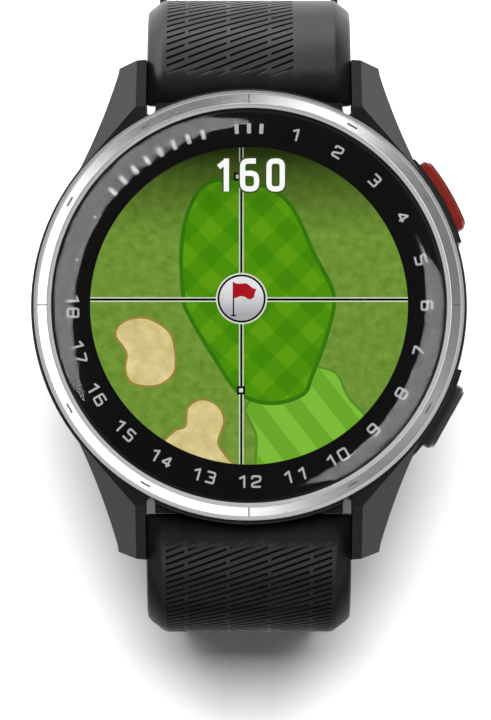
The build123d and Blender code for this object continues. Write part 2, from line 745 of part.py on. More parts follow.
def all_parts():
    parts = {
        "case_middle": case_middle(),
        "bezel": bezel(),
        "lens": lens(),
        "lens_gasket": ring(GASKET_R, CASE_TOP_Z, PRINT_Z),
        "lens_print": ring((WINDOW_R, LENS_R - 0.1), PRINT_Z, LENS_BASE_Z),
        "display_module": disc(DISPLAY_R, *DISPLAY_Z),
        "display_frame": display_frame(),
        "display_flex": display_flex(),
        "main_board": main_board(),
        "board_shields": board_shields(),
        "board_chips": board_chips(),
        "battery": battery(),
        "battery_lead": battery_lead(),
        "vibration_motor": vibration_motor(),
        "gnss_antenna": gnss_antenna(),
        "back_cover": back_cover(),
        "back_gasket": ring((18.35, 19.05), CAVITY_FLOOR_Z, 2.25),
        "back_screws": back_screws(),
        "chassis_screws": chassis_screws(),
        "charging_socket": charging_socket(),
        "charging_contacts": charging_contacts(),
        "strap_buckle_side": strap_buckle_side(),
    }
    parts.update(button_parts("upper"))
    parts.update(button_parts("lower"))
    parts.update(bar_parts("upper"))
    parts.update(buckle_parts())
    parts.update(keepers())
    parts.update(flipped({"strap_tail_side": strap_tail_side()}))
    parts.update(flipped(bar_parts("lower")))
    return parts


def main():
    os.makedirs("parts", exist_ok=True)
    for name, solid in all_parts().items():
        export_step(solid, f"parts/{name}.step")


main()
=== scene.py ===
from math import cos, hypot, pi, radians, sin, sqrt

import bmesh
import bpy
from mathutils import Matrix, Vector

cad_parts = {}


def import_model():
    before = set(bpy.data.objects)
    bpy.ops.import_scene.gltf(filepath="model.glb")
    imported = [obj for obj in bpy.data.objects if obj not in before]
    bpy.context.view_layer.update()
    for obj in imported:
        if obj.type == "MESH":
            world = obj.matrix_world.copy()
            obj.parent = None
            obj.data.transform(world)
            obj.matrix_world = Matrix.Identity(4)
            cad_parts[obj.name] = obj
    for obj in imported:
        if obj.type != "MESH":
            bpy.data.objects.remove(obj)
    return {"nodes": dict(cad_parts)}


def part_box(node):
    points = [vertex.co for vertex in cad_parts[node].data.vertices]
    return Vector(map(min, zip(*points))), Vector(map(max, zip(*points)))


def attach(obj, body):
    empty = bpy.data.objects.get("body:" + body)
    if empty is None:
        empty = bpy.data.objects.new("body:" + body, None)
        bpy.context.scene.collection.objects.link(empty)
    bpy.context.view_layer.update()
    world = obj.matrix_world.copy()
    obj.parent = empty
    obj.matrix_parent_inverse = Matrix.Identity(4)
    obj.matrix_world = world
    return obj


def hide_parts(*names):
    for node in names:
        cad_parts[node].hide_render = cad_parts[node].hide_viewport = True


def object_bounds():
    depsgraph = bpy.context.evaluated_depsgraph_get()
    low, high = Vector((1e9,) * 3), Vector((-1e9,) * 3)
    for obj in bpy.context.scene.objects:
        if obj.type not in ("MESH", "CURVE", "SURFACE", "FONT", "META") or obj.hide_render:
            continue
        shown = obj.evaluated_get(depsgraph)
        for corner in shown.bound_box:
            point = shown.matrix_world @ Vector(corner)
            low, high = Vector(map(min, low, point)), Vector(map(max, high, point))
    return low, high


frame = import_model()
cad_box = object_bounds()

# The looks of a round golf watch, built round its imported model. Lengths here are millimetres and
# become metres in one place, add_object(). +Z leaves the dial, +Y is 12 o'clock, +X is 3 o'clock.
MM = 0.001

# ---- places taken from the frame ----
BEZEL_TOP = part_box("bezel")[1].z / MM
BEZEL_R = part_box("bezel")[1].x / MM
BEZEL_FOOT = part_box("bezel")[0].z / MM
LENS_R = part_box("lens")[1].x / MM
LENS_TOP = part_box("lens")[1].z / MM
LENS_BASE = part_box("lens")[0].z / MM
PRINT_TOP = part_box("lens_print")[1].z / MM
SCREEN_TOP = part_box("display_module")[1].z / MM
FLOOR_Z = cad_box[0].z / MM

# ---- bezel ----
CASE_TOP = 9.72
BEZEL_IN_R = 19.75
BEZEL_FACE_R = (20.25, 21.2)
BEZEL_FALL = 0.1
BEZEL_BORDER = 0.1
SKIRT_R = (20.3, 20.9)
MARK_R = 20.72
MARK_FLOOR = 11.2
QUARTER_MARK = (0.9, 0.14)
HOUR_MARK = (0.22, 1.1)

# ---- dial ----
GLASS_FLAT_R = 16.6
GLASS_EDGE_DROP = 0.42
WINDOW_R = 15.95
NUMERAL_R = 17.65
NUMERAL_H = 1.25
NUMERAL_W = 1.02
NUMERAL_STROKE = 0.2
RING_DOTS = {"angles": (285, 300), "radius": 0.16}
RING_BARS = {"angles": (310, 315, 320, 325, 330, 335, 340, 345, 356, 360, 364), "half": (0.2, 0.5)}
INK_H = 0.02
LAYER_H = 0.006

# ---- straps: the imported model's driving dimensions, with a head that fills its place between the lugs ----
BAR_Y = 23.2
BAR_Z = 3.6
HEAD_R = 2.4
HEAD_BACK = 2.5
LEAVE_ANGLE = radians(25)
LEAVE_RUN = 1.4
SHOULDER_R = 12.5
STRAP_T = 3.2
STRAP_HALF_W = 10.38
STRAP_END_HALF_W = 8.6
TAPER_Z = (-3.0, -17.0)
BUCKLE_SIDE = {"drop_z": -30.0, "bend_r": 16.6, "run": 2.0}
TAIL_SIDE = {"drop_z": -44.0, "bend_r": 16.0, "run": 41.0}
TAIL_TIP_DEPTH = 5.0
EYE_R = 2.0
TAIL_EDGE_R = 0.7
# Across the band's edge: how far each point is set in, and how deep it lies.
CHAMFER = (1.65, 1.1)
CHAMFER_STEPS = (
    (CHAMFER[0] * 0.86, CHAMFER[1] * 0.07), (0.28, CHAMFER[1] * 0.86), (0.06, CHAMFER[1] + 0.12),
    (0, CHAMFER[1] + 0.5),
)
INNER_EDGE = 0.45
INNER_EDGE_STEPS = ((0, 0.55), (0.1, 0.2), (0.4, 0))
COLUMN_STEP = 1.0
BORE_R = 0.8
KNOB_SLOT = ((5.05, 7.75), (-0.85, 0.85), (-4, 0))
BUCKLE_PIN = (14.1, -45.0)
TONGUE_SLOT_HALF = 1.5
HOLE_SIZE = (2.6, 2.0)
HOLE_RIM = 0.18
HOLE_PITCH = 5.5
HOLE_COUNT = 13
FIRST_HOLE = 13.0

# ---- grooves on the straps ----
UPPER_GROOVES = {"groove_x": (-8.4, 4.5), "pitch": 0.87, "slope": 0.46}
LOWER_GROOVES = {"groove_x": (-8.42, 8.42), "pitch": 0.735, "slope": 0.40}
GROOVE_DEPTH = 0.42
GROOVE_HALF_TOP = 0.15
GROOVE_HALF_BOTTOM = 0.11
GROOVE_START = (-0.6, 1.4)
GROOVE_STOP = (3.0, 1.5)
GROOVE_GAPS = (-6.35, -2.1, 2.1, 6.35)
GAP_HALF = 0.17
GAP_SLOPE = 0.12
GROOVE_END_SLOPE = 0.14
END_TURN = radians(84)

# ---- keepers ----
KEEPER_SIDE = 8.8
KEEPER_WALL = 0.7
KEEPER_HALF_W = 2.75
KEEPER_HIGH = STRAP_T / 2 + 3.7
KEEPER_CORNER = 0.95
KEEPER_EDGE_R = 0.34
FREE_KEEPER_Z = -23.5
FIXED_KEEPER_TURN = radians(45)

# ---- camera ----
CAMERA_DISTANCE = 500.0
CAMERA_TILT = radians(2.97)
FRAME_HEIGHT = 72.0
AIM = (-0.35, -5.53)


# ---- mesh helpers ----

SQUARE = ((-1, -1), (1, -1), (1, 1), (-1, 1))


def place_object(name, data):
    made = bpy.data.objects.new(name, data)
    bpy.context.scene.collection.objects.link(made)
    return made


def add_object(name, verts, faces, weld=0.0, material=None):
    """A mesh object from millimetre points, with consistent normals."""
    mesh = bpy.data.meshes.new(name)
    mesh.from_pydata([(x * MM, y * MM, z * MM) for x, y, z in verts], [], faces)
    work = bmesh.new()
    work.from_mesh(mesh)
    if weld:
        bmesh.ops.remove_doubles(work, verts=work.verts, dist=weld * MM)
        bmesh.ops.dissolve_degenerate(work, edges=work.edges, dist=weld * MM * 0.5)
    bmesh.ops.recalc_face_normals(work, faces=work.faces)
    work.to_mesh(mesh)
    work.free()
    if material:
        mesh.materials.append(material)
    return place_object(name, mesh)


def smooth(piece, angle=35):
    """Smooth shading with edges sharper than this many degrees kept crisp."""
    mesh = piece.data
    mesh.polygons.foreach_set("use_smooth", [True] * len(mesh.polygons))
    mesh.set_sharp_from_angle(angle=radians(angle))


def bake_modifiers(piece):
    graph = bpy.context.evaluated_depsgraph_get()
    mesh = bpy.data.meshes.new_from_object(piece.evaluated_get(graph))
    piece.modifiers.clear()
    piece.data = mesh


def cut(piece, cutters):
    """Cuts closed solids out of a piece, then deletes them."""
    for cutter in cutters:
        step = piece.modifiers.new("cut", "BOOLEAN")
        step.operation = "DIFFERENCE"
        step.solver = "EXACT"
        step.object = cutter
    bake_modifiers(piece)
    for cutter in cutters:
        bpy.data.objects.remove(cutter)


def band_faces(loops, n, start=0, closed=False, wrap=True):
    """Quads between each loop of n points and the next. wrap joins each loop's end to its start."""
    faces = []
    for k in range(loops if closed else loops - 1):
        here, there = start + k * n, start + (k + 1) % loops * n
        for i in range(n if wrap else n - 1):
            j = (i + 1) % n
            faces.append([here + i, here + j, there + j, there + i])
    return faces


class Slab:
    """Flat shapes with a little thickness, gathered into one mesh between two heights."""

    def __init__(self, z0, z1):
        self.z = (z0, z1)
        self.verts = []
        self.faces = []

    def plate(self, outline):
        """A filled outline of (x, y) points."""
        n, start = len(outline), len(self.verts)
        for z in self.z:
            self.verts += [(x, y, z) for x, y in outline]
        self.faces.append([start + i for i in reversed(range(n))])
        self.faces.append([start + n + i for i in range(n)])
        self.faces += band_faces(2, n, start)

    def stroke(self, points, half_width, closed=False):
        """A line of constant width with mitred corners."""
        left, right = offset_line(points, half_width, closed)
        n, start = len(points), len(self.verts)
        low, top = self.z
        for side, z in ((left, low), (left, top), (right, top), (right, low)):
            self.verts += [(x, y, z) for x, y in side]
        self.faces += band_faces(4, n, start, closed=True, wrap=closed)
        if not closed:
            for i in (0, n - 1):
                self.faces.append([start + k * n + i for k in range(4)])

    def piece(self, name, material):
        return add_object(name, self.verts, self.faces, material=material)


def offset_line(points, half_width, closed):
    """The two sides of a line, moved out along the mitre at each point."""
    left, right = [], []
    n = len(points)
    for i, (x, y) in enumerate(points):
        before = points[i - 1] if closed or i else None
        after = points[(i + 1) % n] if closed or i < n - 1 else None
        normals = []
        for a, b in ((before, (x, y)), ((x, y), after)):
            if a and b:
                length = hypot(b[0] - a[0], b[1] - a[1])
                normals.append((-(b[1] - a[1]) / length, (b[0] - a[0]) / length))
        nx = sum(v[0] for v in normals) / len(normals)
        ny = sum(v[1] for v in normals) / len(normals)
        scale = half_width / max(0.35, nx * nx + ny * ny)
        left.append((x + nx * scale, y + ny * scale))
        right.append((x - nx * scale, y - ny * scale))
    return left, right


def arc(cx, cy, r, start, end, steps):
    """Points on an arc between two angles in degrees."""
    turn = [radians(start + (end - start) * i / steps) for i in range(steps + 1)]
    return [(cx + r * cos(a), cy + r * sin(a)) for a in turn]


def curved(points, steps=6):
    """A closed smooth line through these points (Catmull-Rom)."""
    n = len(points)
    out = []
    for i in range(n):
        p0, p1, p2, p3 = (Vector(points[(i + k - 1) % n]) for k in range(4))
        for step in range(steps):
            t = step / steps
            out.append(tuple(0.5 * (
                2 * p1 + (p2 - p0) * t + (2 * p0 - 5 * p1 + 4 * p2 - p3) * t * t
                + (3 * p1 - p0 - 3 * p2 + p3) * t ** 3
            )))
    return out


def rounded(points, radius, closed=False, steps=4):
    """A line whose corners are rounded with quadratic curves."""
    n = len(points)
    out = []
    for i, point in enumerate(points):
        corner = Vector(point)
        if not closed and i in (0, n - 1):
            out.append(tuple(corner))
            continue
        before, after = Vector(points[i - 1]), Vector(points[(i + 1) % n])
        reach_in = min(radius, (before - corner).length * 0.49)
        reach_out = min(radius, (after - corner).length * 0.49)
        a = corner + (before - corner).normalized() * reach_in
        b = corner + (after - corner).normalized() * reach_out
        for step in range(steps + 1):
            t = step / steps
            out.append(tuple(a * (1 - t) ** 2 + corner * 2 * t * (1 - t) + b * t * t))
    return out


def lathe(name, profile, segments=360):
    """A closed outline of (radius, height) points turned about Z."""
    verts = []
    n = len(profile)
    for k in range(segments):
        a = 2 * pi * k / segments
        verts += [(r * cos(a), r * sin(a), z) for r, z in profile]
    faces = []
    for face in band_faces(segments, n, closed=True):
        if profile[face[0] % n][0] or profile[face[1] % n][0]:
            faces.append(face)
    return add_object(name, verts, faces, weld=0.001)


def rod(name, radius, centre, axis, length, segments=48):
    """A closed round bar centred on a point, along a direction."""
    turn = Vector(axis).normalized().to_track_quat("Z", "Y").to_matrix()
    verts = []
    for z in (-length / 2, length / 2):
        for k in range(segments):
            a = 2 * pi * k / segments
            verts.append(Vector(centre) + turn @ Vector((radius * cos(a), radius * sin(a), z)))
    faces = [list(reversed(range(segments))), list(range(segments, 2 * segments))]
    return add_object(name, verts, band_faces(2, segments) + faces)


def brick(name, x, y, z):
    """A closed box between the two values of each of x, y and z."""
    verts = [(a, b, c) for c in z for b in y for a in x]
    faces = [[0, 2, 3, 1], [4, 5, 7, 6], [0, 1, 5, 4], [2, 6, 7, 3], [0, 4, 6, 2], [1, 3, 7, 5]]
    return add_object(name, verts, faces)


# ---- materials ----


def linear(red, green, blue):
    """A display colour, 0 to 255, as the linear colour that shaders use."""
    out = []
    for value in (red, green, blue):
        c = value / 255
        out.append(c / 12.92 if c <= 0.04045 else ((c + 0.055) / 1.055) ** 2.4)
    return (*out, 1.0)


def grey(level, tint=(1, 1, 1)):
    return (*(level * part for part in tint), 1.0)


class Nodes:
    """Short-hands for building a node tree."""

    def __init__(self, owner):
        owner.use_nodes = True
        self.tree = owner.node_tree

    def node(self, kind, **settings):
        made = self.tree.nodes.new(kind)
        for key, value in settings.items():
            setattr(made, key, value)
        return made

    def link(self, source, target):
        self.tree.links.new(source, target)

    def math(self, operation, *values):
        made = self.node("ShaderNodeMath", operation=operation)
        for socket, value in zip(made.inputs, values):
            if isinstance(value, (int, float)):
                socket.default_value = value
            else:
                self.link(value, socket)
        return made.outputs[0]

    def split(self, vector):
        """The x, y and z of a vector."""
        made = self.node("ShaderNodeSeparateXYZ")
        self.link(vector, made.inputs[0])
        return made.outputs

    def blend(self, first, second, share):
        """The first value taken at this share, and the second for the rest."""
        rest = round(1 - share, 2)
        return self.math("ADD", self.math("MULTIPLY", first, share), self.math("MULTIPLY", second, rest))

    def ramp(self, value, stops):
        made = self.node("ShaderNodeValToRGB")
        elements = made.color_ramp.elements
        while len(elements) < len(stops):
            elements.new(0.5)
        for element, (position, colour) in zip(elements, stops):
            element.position = position
            element.color = colour
        self.link(value, made.inputs["Fac"])
        return made.outputs["Color"]

    def spread(self, value, low, high, start=0.3, end=0.7):
        """A value from start to end, spread between two other numbers."""
        made = self.node("ShaderNodeMapRange")
        for name, number in (("From Min", start), ("From Max", end), ("To Min", low), ("To Max", high)):
            made.inputs[name].default_value = number
        self.link(value, made.inputs["Value"])
        return made.outputs["Result"]

    def mix(self, share, first, second):
        """The first shader where share is 0, and the second where it is 1."""
        made = self.node("ShaderNodeMixShader")
        for source, socket in zip((share, first.outputs[0], second.outputs[0]), made.inputs):
            self.link(source, socket)
        return made.outputs[0]


class Finish(Nodes):
    """A Principled material with short-hands for what most finishes here share."""

    def __init__(self, name, roughness=0.5, metallic=0.0):
        self.material = bpy.data.materials.new(name)
        super().__init__(self.material)
        self.shader = self.tree.nodes["Principled BSDF"]
        self.place = self.node("ShaderNodeTexCoord").outputs["Object"]
        self.set(Roughness=roughness, Metallic=metallic)

    def set(self, **values):
        for key, value in values.items():
            self.shader.inputs[key.replace("_", " ")].default_value = value
        return self

    def noise(self, grain, detail=3.0, where=None, roughness=0.5):
        """Noise whose lumps are about this many millimetres across."""
        made = self.node("ShaderNodeTexNoise")
        made.inputs["Scale"].default_value = 1 / (grain * MM)
        made.inputs["Detail"].default_value = detail
        made.inputs["Roughness"].default_value = roughness
        self.link(where or self.place, made.inputs["Vector"])
        return made.outputs["Fac"]

    def colours(self, value, dark, light):
        self.link(self.ramp(value, [(0.3, dark), (0.7, light)]), self.shader.inputs["Base Color"])

    def rough(self, value, low, high):
        self.link(self.spread(value, low, high), self.shader.inputs["Roughness"])

    def bump(self, height, depth, strength=1.0):
        """Relief this many millimetres deep."""
        made = self.node("ShaderNodeBump")
        made.inputs["Distance"].default_value = depth * MM
        made.inputs["Strength"].default_value = strength
        self.link(height, made.inputs["Height"])
        self.link(made.outputs["Normal"], self.shader.inputs["Normal"])

    def mapped(self, scale, angle=0.0):
        """Coordinates turned this many degrees about Z and scaled."""
        made = self.node("ShaderNodeMapping")
        made.inputs["Rotation"].default_value = (0, 0, radians(angle))
        made.inputs["Scale"].default_value = scale
        self.link(self.place, made.inputs["Vector"])
        return made.outputs[0]

    def round_place(self, along, across):
        """Coordinates that run round Z, so that noise on them is drawn out into circles."""
        x, y, z = self.split(self.place)
        square = self.math("ADD", self.math("MULTIPLY", x, x), self.math("MULTIPLY", y, y))
        radius = self.math("SQRT", square)
        angle = self.math("ARCTAN2", y, x)
        joined = self.node("ShaderNodeCombineXYZ")
        self.link(self.math("MULTIPLY", angle, along), joined.inputs[0])
        self.link(self.math("MULTIPLY", radius, across), joined.inputs[1])
        self.link(self.math("MULTIPLY", z, across), joined.inputs[2])
        return joined.outputs[0]


def grained(name, dark, light, grain, rough, depth=0.0, metallic=0.0, shine=0.5):
    """A finish whose colour, roughness and relief all vary with the same fine grain."""
    finish = Finish(name, metallic=metallic)
    broad = finish.noise(grain * 12, detail=2)
    fine = finish.noise(grain)
    dark, light = (grey(tone) if isinstance(tone, float) else (*tone, 1.0) for tone in (dark, light))
    finish.colours(finish.blend(broad, fine, 0.55), dark, light)
    finish.rough(broad, *rough)
    if depth:
        finish.bump(fine, depth)
    return finish.set(Specular_IOR_Level=shine).material


def clouded(name, dark, light, fine, broad, share, rough, depth, metallic=0.0, **sockets):
    """A finish with cloudy colour and fine relief, from two noises given as (grain, detail).

    share is how much of its roughness follows the clouds; the rest follows the fine grain.
    """
    finish = Finish(name, metallic=metallic)
    fine = finish.noise(*fine)
    broad = finish.noise(*broad)
    finish.colours(broad, dark, light)
    finish.rough(finish.blend(broad, fine, share), *rough)
    finish.bump(fine, depth)
    return finish.set(**sockets)


def case_polymer():
    """Fibre-filled nylon with a fine satin grain."""
    return clouded("case_polymer", grey(0.0025), grey(0.0045), (0.09, 4), (2.5, 3), 0.6, (0.28, 0.40),
                   0.006, Specular_IOR_Level=0.26).material


def brushed_aluminium():
    """Aluminium brushed round the dial, with long fine scratches and faint bands."""
    finish = Finish("brushed_aluminium", metallic=1.0)
    round_way = finish.round_place(1.2 * MM, 1.0)
    scratches = finish.noise(0.035, detail=4, where=round_way, roughness=0.6)
    bands = finish.noise(0.35, detail=3, where=round_way)
    blotch = finish.noise(1.4, detail=4)
    mixed = finish.blend(scratches, blotch, 0.7)
    finish.colours(mixed, grey(0.68, (1, 1.01, 0.98)), grey(0.80, (1, 1.01, 0.99)))
    finish.rough(finish.blend(bands, blotch, 0.5), 0.14, 0.16)
    finish.bump(scratches, 0.0006, 0.4)
    tangent = finish.node("ShaderNodeTangent", direction_type="RADIAL", axis="Z")
    finish.link(tangent.outputs[0], finish.shader.inputs["Tangent"])
    return finish.set(Anisotropic=0.8).material


def cover_glass():
    """Coated glass: clear from in front, a mirror for the soft lights at its curved rim."""
    finish = Finish("coated_glass")
    nodes = finish.tree.nodes
    nodes.remove(finish.shader)
    clear = finish.node("ShaderNodeBsdfTransparent")
    gloss = finish.node("ShaderNodeBsdfGlossy")
    smudge = finish.noise(3.0, detail=5)
    finish.link(finish.spread(smudge, 0.055, 0.065), gloss.inputs["Roughness"])
    fresnel = finish.node("ShaderNodeFresnel")
    fresnel.inputs["IOR"].default_value = 1.18
    facing = finish.node("ShaderNodeNewGeometry")
    outside = finish.math("SUBTRACT", 1.0, facing.outputs["Backfacing"])
    mirrored = finish.math("MULTIPLY", fresnel.outputs[0], outside)
    finish.link(finish.mix(mirrored, clear, gloss), nodes["Material Output"].inputs["Surface"])
    return finish.material


def strap_silicone(name, edge_shine):
    """Matt moulded silicone. edge_shine is its gloss where it turns away; a low one gives a shaded copy, dark
    as if in shadow.
    """
    finish = clouded(name, grey(0.0022), grey(0.0042), (0.05, 3), (4.0, 4), 1.0, (0.36, 0.46), 0.005)
    facing = finish.node("ShaderNodeLayerWeight").outputs["Facing"]
    shine = finish.spread(facing, 0.3, edge_shine, 0.12, 0.4)
    finish.link(shine, finish.shader.inputs["Specular IOR Level"])
    return finish.material


def button_paint(name, dark, light, coat):
    """Anodised and lacquered cap."""
    return clouded(name, dark, light, (0.07, 3), (1.6, 3), 0.0, (0.26, 0.38), 0.003, metallic=0.25,
                   Coat_Weight=coat, Coat_Roughness=0.12, Specular_IOR_Level=0.3).material


def glowing(name, shades, grain, painted_shade=(9.0, 15.5, 0.5), pattern=None):
    """A lit patch of the screen: mottled emission. shades are display colours by their place from 0 to 1.

    painted_shade is painted shade: where the patch starts and ends dimming up the dial, and how far it dims.
    """
    finish = Finish(name, roughness=0.35)
    finish.shader.inputs["Base Color"].default_value = grey(0.0)
    value = pattern(finish) if pattern else finish.noise(grain, detail=5, roughness=0.6)
    colour = finish.ramp(value, [(place, linear(*shade)) for place, shade in shades.items()])
    # Painted shade: the emission is dimmed between two heights on the dial.
    if painted_shade:
        start, end, dimmed = painted_shade
        up = finish.split(finish.place)[1]
        shade = finish.spread(up, 1.0, dimmed, start * MM, end * MM)
        scale = finish.node("ShaderNodeVectorMath", operation="SCALE")
        finish.link(colour, scale.inputs[0])
        finish.link(shade, scale.inputs["Scale"])
        colour = scale.outputs[0]
    finish.link(colour, finish.shader.inputs["Emission Color"])
    finish.set(Emission_Strength=1.0, Specular_IOR_Level=0.0)
    return finish.material


def mown(pitch, angle, ways, mottling, share):
    """Returns a pattern of mowing bands this wide and turned this many degrees, one way or crossed."""
    def pattern(finish):
        turned = finish.mapped((1 / (pitch * MM),) * 3, angle)
        bands = []
        for way in finish.split(turned)[:ways]:
            phase = finish.math("FRACT", finish.math("ADD", way, 100.0))
            bands.append(finish.math("GREATER_THAN", phase, 0.5))
        mowing = bands[0]
        if ways == 2:
            mowing = finish.math("MULTIPLY", finish.math("ADD", *bands), 0.5)
        return finish.blend(mowing, finish.noise(mottling, detail=4), share)
    return pattern


def brushed_steel(name, level, rough, grain, stretch):
    """Steel with straight fine brushing along X."""
    finish = Finish(name, metallic=1.0)
    lines = finish.noise(grain, detail=4, where=finish.mapped((1 / stretch, 1, 1)))
    broad = finish.noise(1.2, detail=3)
    finish.colours(lines, grey(level * 0.8), grey(level, (1, 1, 0.985)))
    finish.rough(broad, *rough)
    finish.bump(lines, 0.002, 0.5)
    return finish.material


def board_laminate():
    """Green solder mask with copper tracks showing through as slightly raised, lighter lines."""
    finish = Finish("solder_mask")
    cells = finish.node("ShaderNodeTexBrick")
    cells.inputs["Scale"].default_value = 1 / (2.4 * MM)
    cells.inputs["Mortar Size"].default_value = 0.03
    finish.link(finish.place, cells.inputs["Vector"])
    stops = [(0.0, grey(0.05, (0.12, 1, 0.35))), (1.0, grey(0.11, (0.3, 1, 0.4)))]
    finish.link(finish.ramp(cells.outputs["Fac"], stops), finish.shader.inputs["Base Color"])
    finish.rough(finish.noise(0.8), 0.25, 0.4)
    finish.bump(cells.outputs["Fac"], 0.01)
    return finish.material


# For each material slot: name, dark and light tone, grain, roughness, relief, metallic, shine.
GRAINED = {
    "seal_rubber": ("seal_rubber_grey", 0.02, 0.035, 0.06, (0.55, 0.75), 0.004),
    "ring_ink": ("bonded_ink", 0.0008, 0.0016, 0.05, (0.3, 0.4), 0.0005, 0.0, 0.05),
    "display_panel": ("panel_glass", 0.002, 0.004, 0.2, (0.3, 0.4), 0.0, 0.0, 0.05),
    "tray_plastic": ("tray_nylon", 0.03, 0.05, 0.08, (0.4, 0.6), 0.005),
    "flex_film": ("polyimide", (0.32, 0.11, 0.015), (0.42, 0.17, 0.03), 0.15, (0.25, 0.4), 0.003),
    "chip_resin": ("chip_epoxy", 0.012, 0.022, 0.05, (0.45, 0.65), 0.004),
    "cell_foil": ("pouch_foil", 0.45, 0.6, 0.25, (0.3, 0.5), 0.01, 0.9),
    "wire_insulation": ("wire_pvc", (0.30, 0.01, 0.01), (0.42, 0.02, 0.015), 0.1, (0.35, 0.5), 0.003),
    "antenna_copper": ("antenna_plate", (0.75, 0.36, 0.2), (0.9, 0.5, 0.32), 0.1, (0.2, 0.35), 0.002, 1.0),
    "back_black": ("back_composite", 0.012, 0.022, 0.12, (0.3, 0.48), 0.006),
    "socket_plastic": ("socket_resin", 0.01, 0.016, 0.06, (0.3, 0.45), 0.003),
    "contact_gold": ("gold_plate", (0.85, 0.55, 0.2), (0.98, 0.68, 0.3), 0.05, (0.12, 0.25), 0.001, 1.0),
    "switch_resin": ("switch_body", (0.5, 0.49, 0.45), (0.62, 0.6076, 0.5704), 0.08, (0.4, 0.55), 0.003),
}

# For each material slot: name, level, roughness, grain, stretch.
BRUSHED = {
    "shield_tin": ("tin_plate", 0.72, (0.28, 0.45), 0.08, 3),
    "motor_steel": ("motor_can", 0.6, (0.2, 0.35), 0.04, 2),
    "screw_steel": ("screw_black_steel", 0.16, (0.25, 0.4), 0.04, 1),
    "buckle_steel": ("buckle_black_steel", 0.10, (0.28, 0.42), 0.04, 12),
    "bar_steel": ("bar_stainless", 0.62, (0.18, 0.32), 0.04, 12),
}


def cad_finishes():
    """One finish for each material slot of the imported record."""
    finishes = {
        "case_black": case_polymer(),
        "bezel_aluminium": brushed_aluminium(),
        "cover_glass": cover_glass(),
        "board_laminate": board_laminate(),
        "button_red": button_paint("red_lacquer", linear(84, 11, 4), linear(98, 15, 5), 0.15),
        "button_black": button_paint("black_lacquer", grey(0.010), grey(0.018), 0.25),
        "strap_silicone": strap_silicone("strap_silicone_black", 0.3),
        "keeper_silicone": strap_silicone("keeper_silicone_black", 0.15),
    }
    finishes |= {slot: grained(*row) for slot, row in GRAINED.items()}
    finishes |= {slot: brushed_steel(*row) for slot, row in BRUSHED.items()}
    return finishes


# ---- dial: glass, ring figures and screen ----


def glass():
    """The cover glass with its edge rolled off in a smooth curve."""
    steps = 24
    rim_w = LENS_R - 0.1 - GLASS_FLAT_R
    rim = []
    for i in range(steps + 1):
        t = i / steps
        rim.append((GLASS_FLAT_R + rim_w * t, LENS_TOP - GLASS_EDGE_DROP * t ** 1.8))
    base = LENS_BASE + 0.03
    profile = [(0, LENS_TOP), (9, LENS_TOP)] + rim
    profile += [(LENS_R, LENS_TOP - GLASS_EDGE_DROP - 0.12), (LENS_R, base), (0, base)]
    piece = lathe("cover_glass_curved", profile)
    smooth(piece, 30)
    return piece


def bezel():
    """The brushed ring: a face that falls outwards, softened chamfers, a skirt and twelve sunk marks."""
    top = BEZEL_TOP
    face_in, face_out = BEZEL_FACE_R
    border = BEZEL_BORDER
    dip = BEZEL_FALL * border / (face_out - face_in)
    corners = [
        (BEZEL_IN_R, CASE_TOP), (SKIRT_R[0], CASE_TOP), (SKIRT_R[0], BEZEL_FOOT), (SKIRT_R[1], BEZEL_FOOT),
        (SKIRT_R[1], CASE_TOP), (BEZEL_R, CASE_TOP), (BEZEL_R, top - BEZEL_FALL - 0.2),
        (face_out, top - BEZEL_FALL), (face_out - border, top - BEZEL_FALL + dip),
        (face_in + border, top - dip), (face_in, top), (BEZEL_IN_R + 0.06, top - 0.16),
        (BEZEL_IN_R, top - 0.4),
    ]
    ring = lathe("bezel_brushed", rounded(corners, 0.06, closed=True))
    sinks = []
    for hour in range(12):
        length, width = mark_size(hour)
        across, along = (MARK_R - length / 2, MARK_R + length / 2), (-width / 2, width / 2)
        sink = brick("sink", across, along, (MARK_FLOOR, top + 1))
        sink.data.transform(Matrix.Rotation(radians(30 * hour), 4, "Z"))
        sinks.append(sink)
    cut(ring, sinks)
    smooth(ring, 20)
    return ring


def mark_size(hour):
    """Length along the radius and width of one mark."""
    return QUARTER_MARK if hour % 3 == 0 else HOUR_MARK


def mark_paint(shade_finish):
    """Dark plates on the floor of each sunk mark: painted shade in the recesses."""
    slab = Slab(MARK_FLOOR + 0.001, MARK_FLOOR + 0.02)
    for hour in range(12):
        length, width = (size / 2 - 0.005 for size in mark_size(hour))
        a = radians(30 * hour)
        corners = [(length * x, width * y) for x, y in SQUARE]
        slab.plate([
            ((MARK_R + x) * cos(a) - y * sin(a), (MARK_R + x) * sin(a) + y * cos(a)) for x, y in corners
        ])
    return slab.piece("bezel_mark_painted_shade", shade_finish)


DIGITS = {
    "0": [([(0, 0), (1, 0), (1, 1), (0, 1)], True)],
    "1": [([(0.2, 0.78), (0.8, 1.0)], False), ([(0.8, -0.09), (0.8, 1.09)], False)],
    "2": [([(0, 0.72), (0, 1), (1, 1), (1, 0.56), (0, 0.3), (0, 0), (1.05, 0)], False)],
    "3": [([(0, 1), (1, 1), (1, 0.53), (0.35, 0.53)], False),
          ([(0.6, 0.53), (1, 0.5), (1, 0), (-0.02, 0)], False)],
    "4": [([(0.72, 0), (0.72, 1), (-0.05, 0.28), (1.05, 0.28)], False)],
    "5": [([(1, 1), (0.05, 1), (0.05, 0.56), (1, 0.56), (1, 0), (-0.02, 0)], False)],
    "6": [([(0.95, 1), (0, 1), (0, 0), (1, 0), (1, 0.56), (0, 0.56)], False)],
    "7": [([(-0.02, 1), (1, 1), (0.38, 0)], False)],
    "8": [([(0, 0), (1, 0), (1, 1), (0, 1)], True), ([(0.04, 0.52), (0.96, 0.52)], False)],
    "9": [([(0.05, 0), (1, 0), (1, 1), (0, 1), (0, 0.44), (1, 0.44)], False)],
}


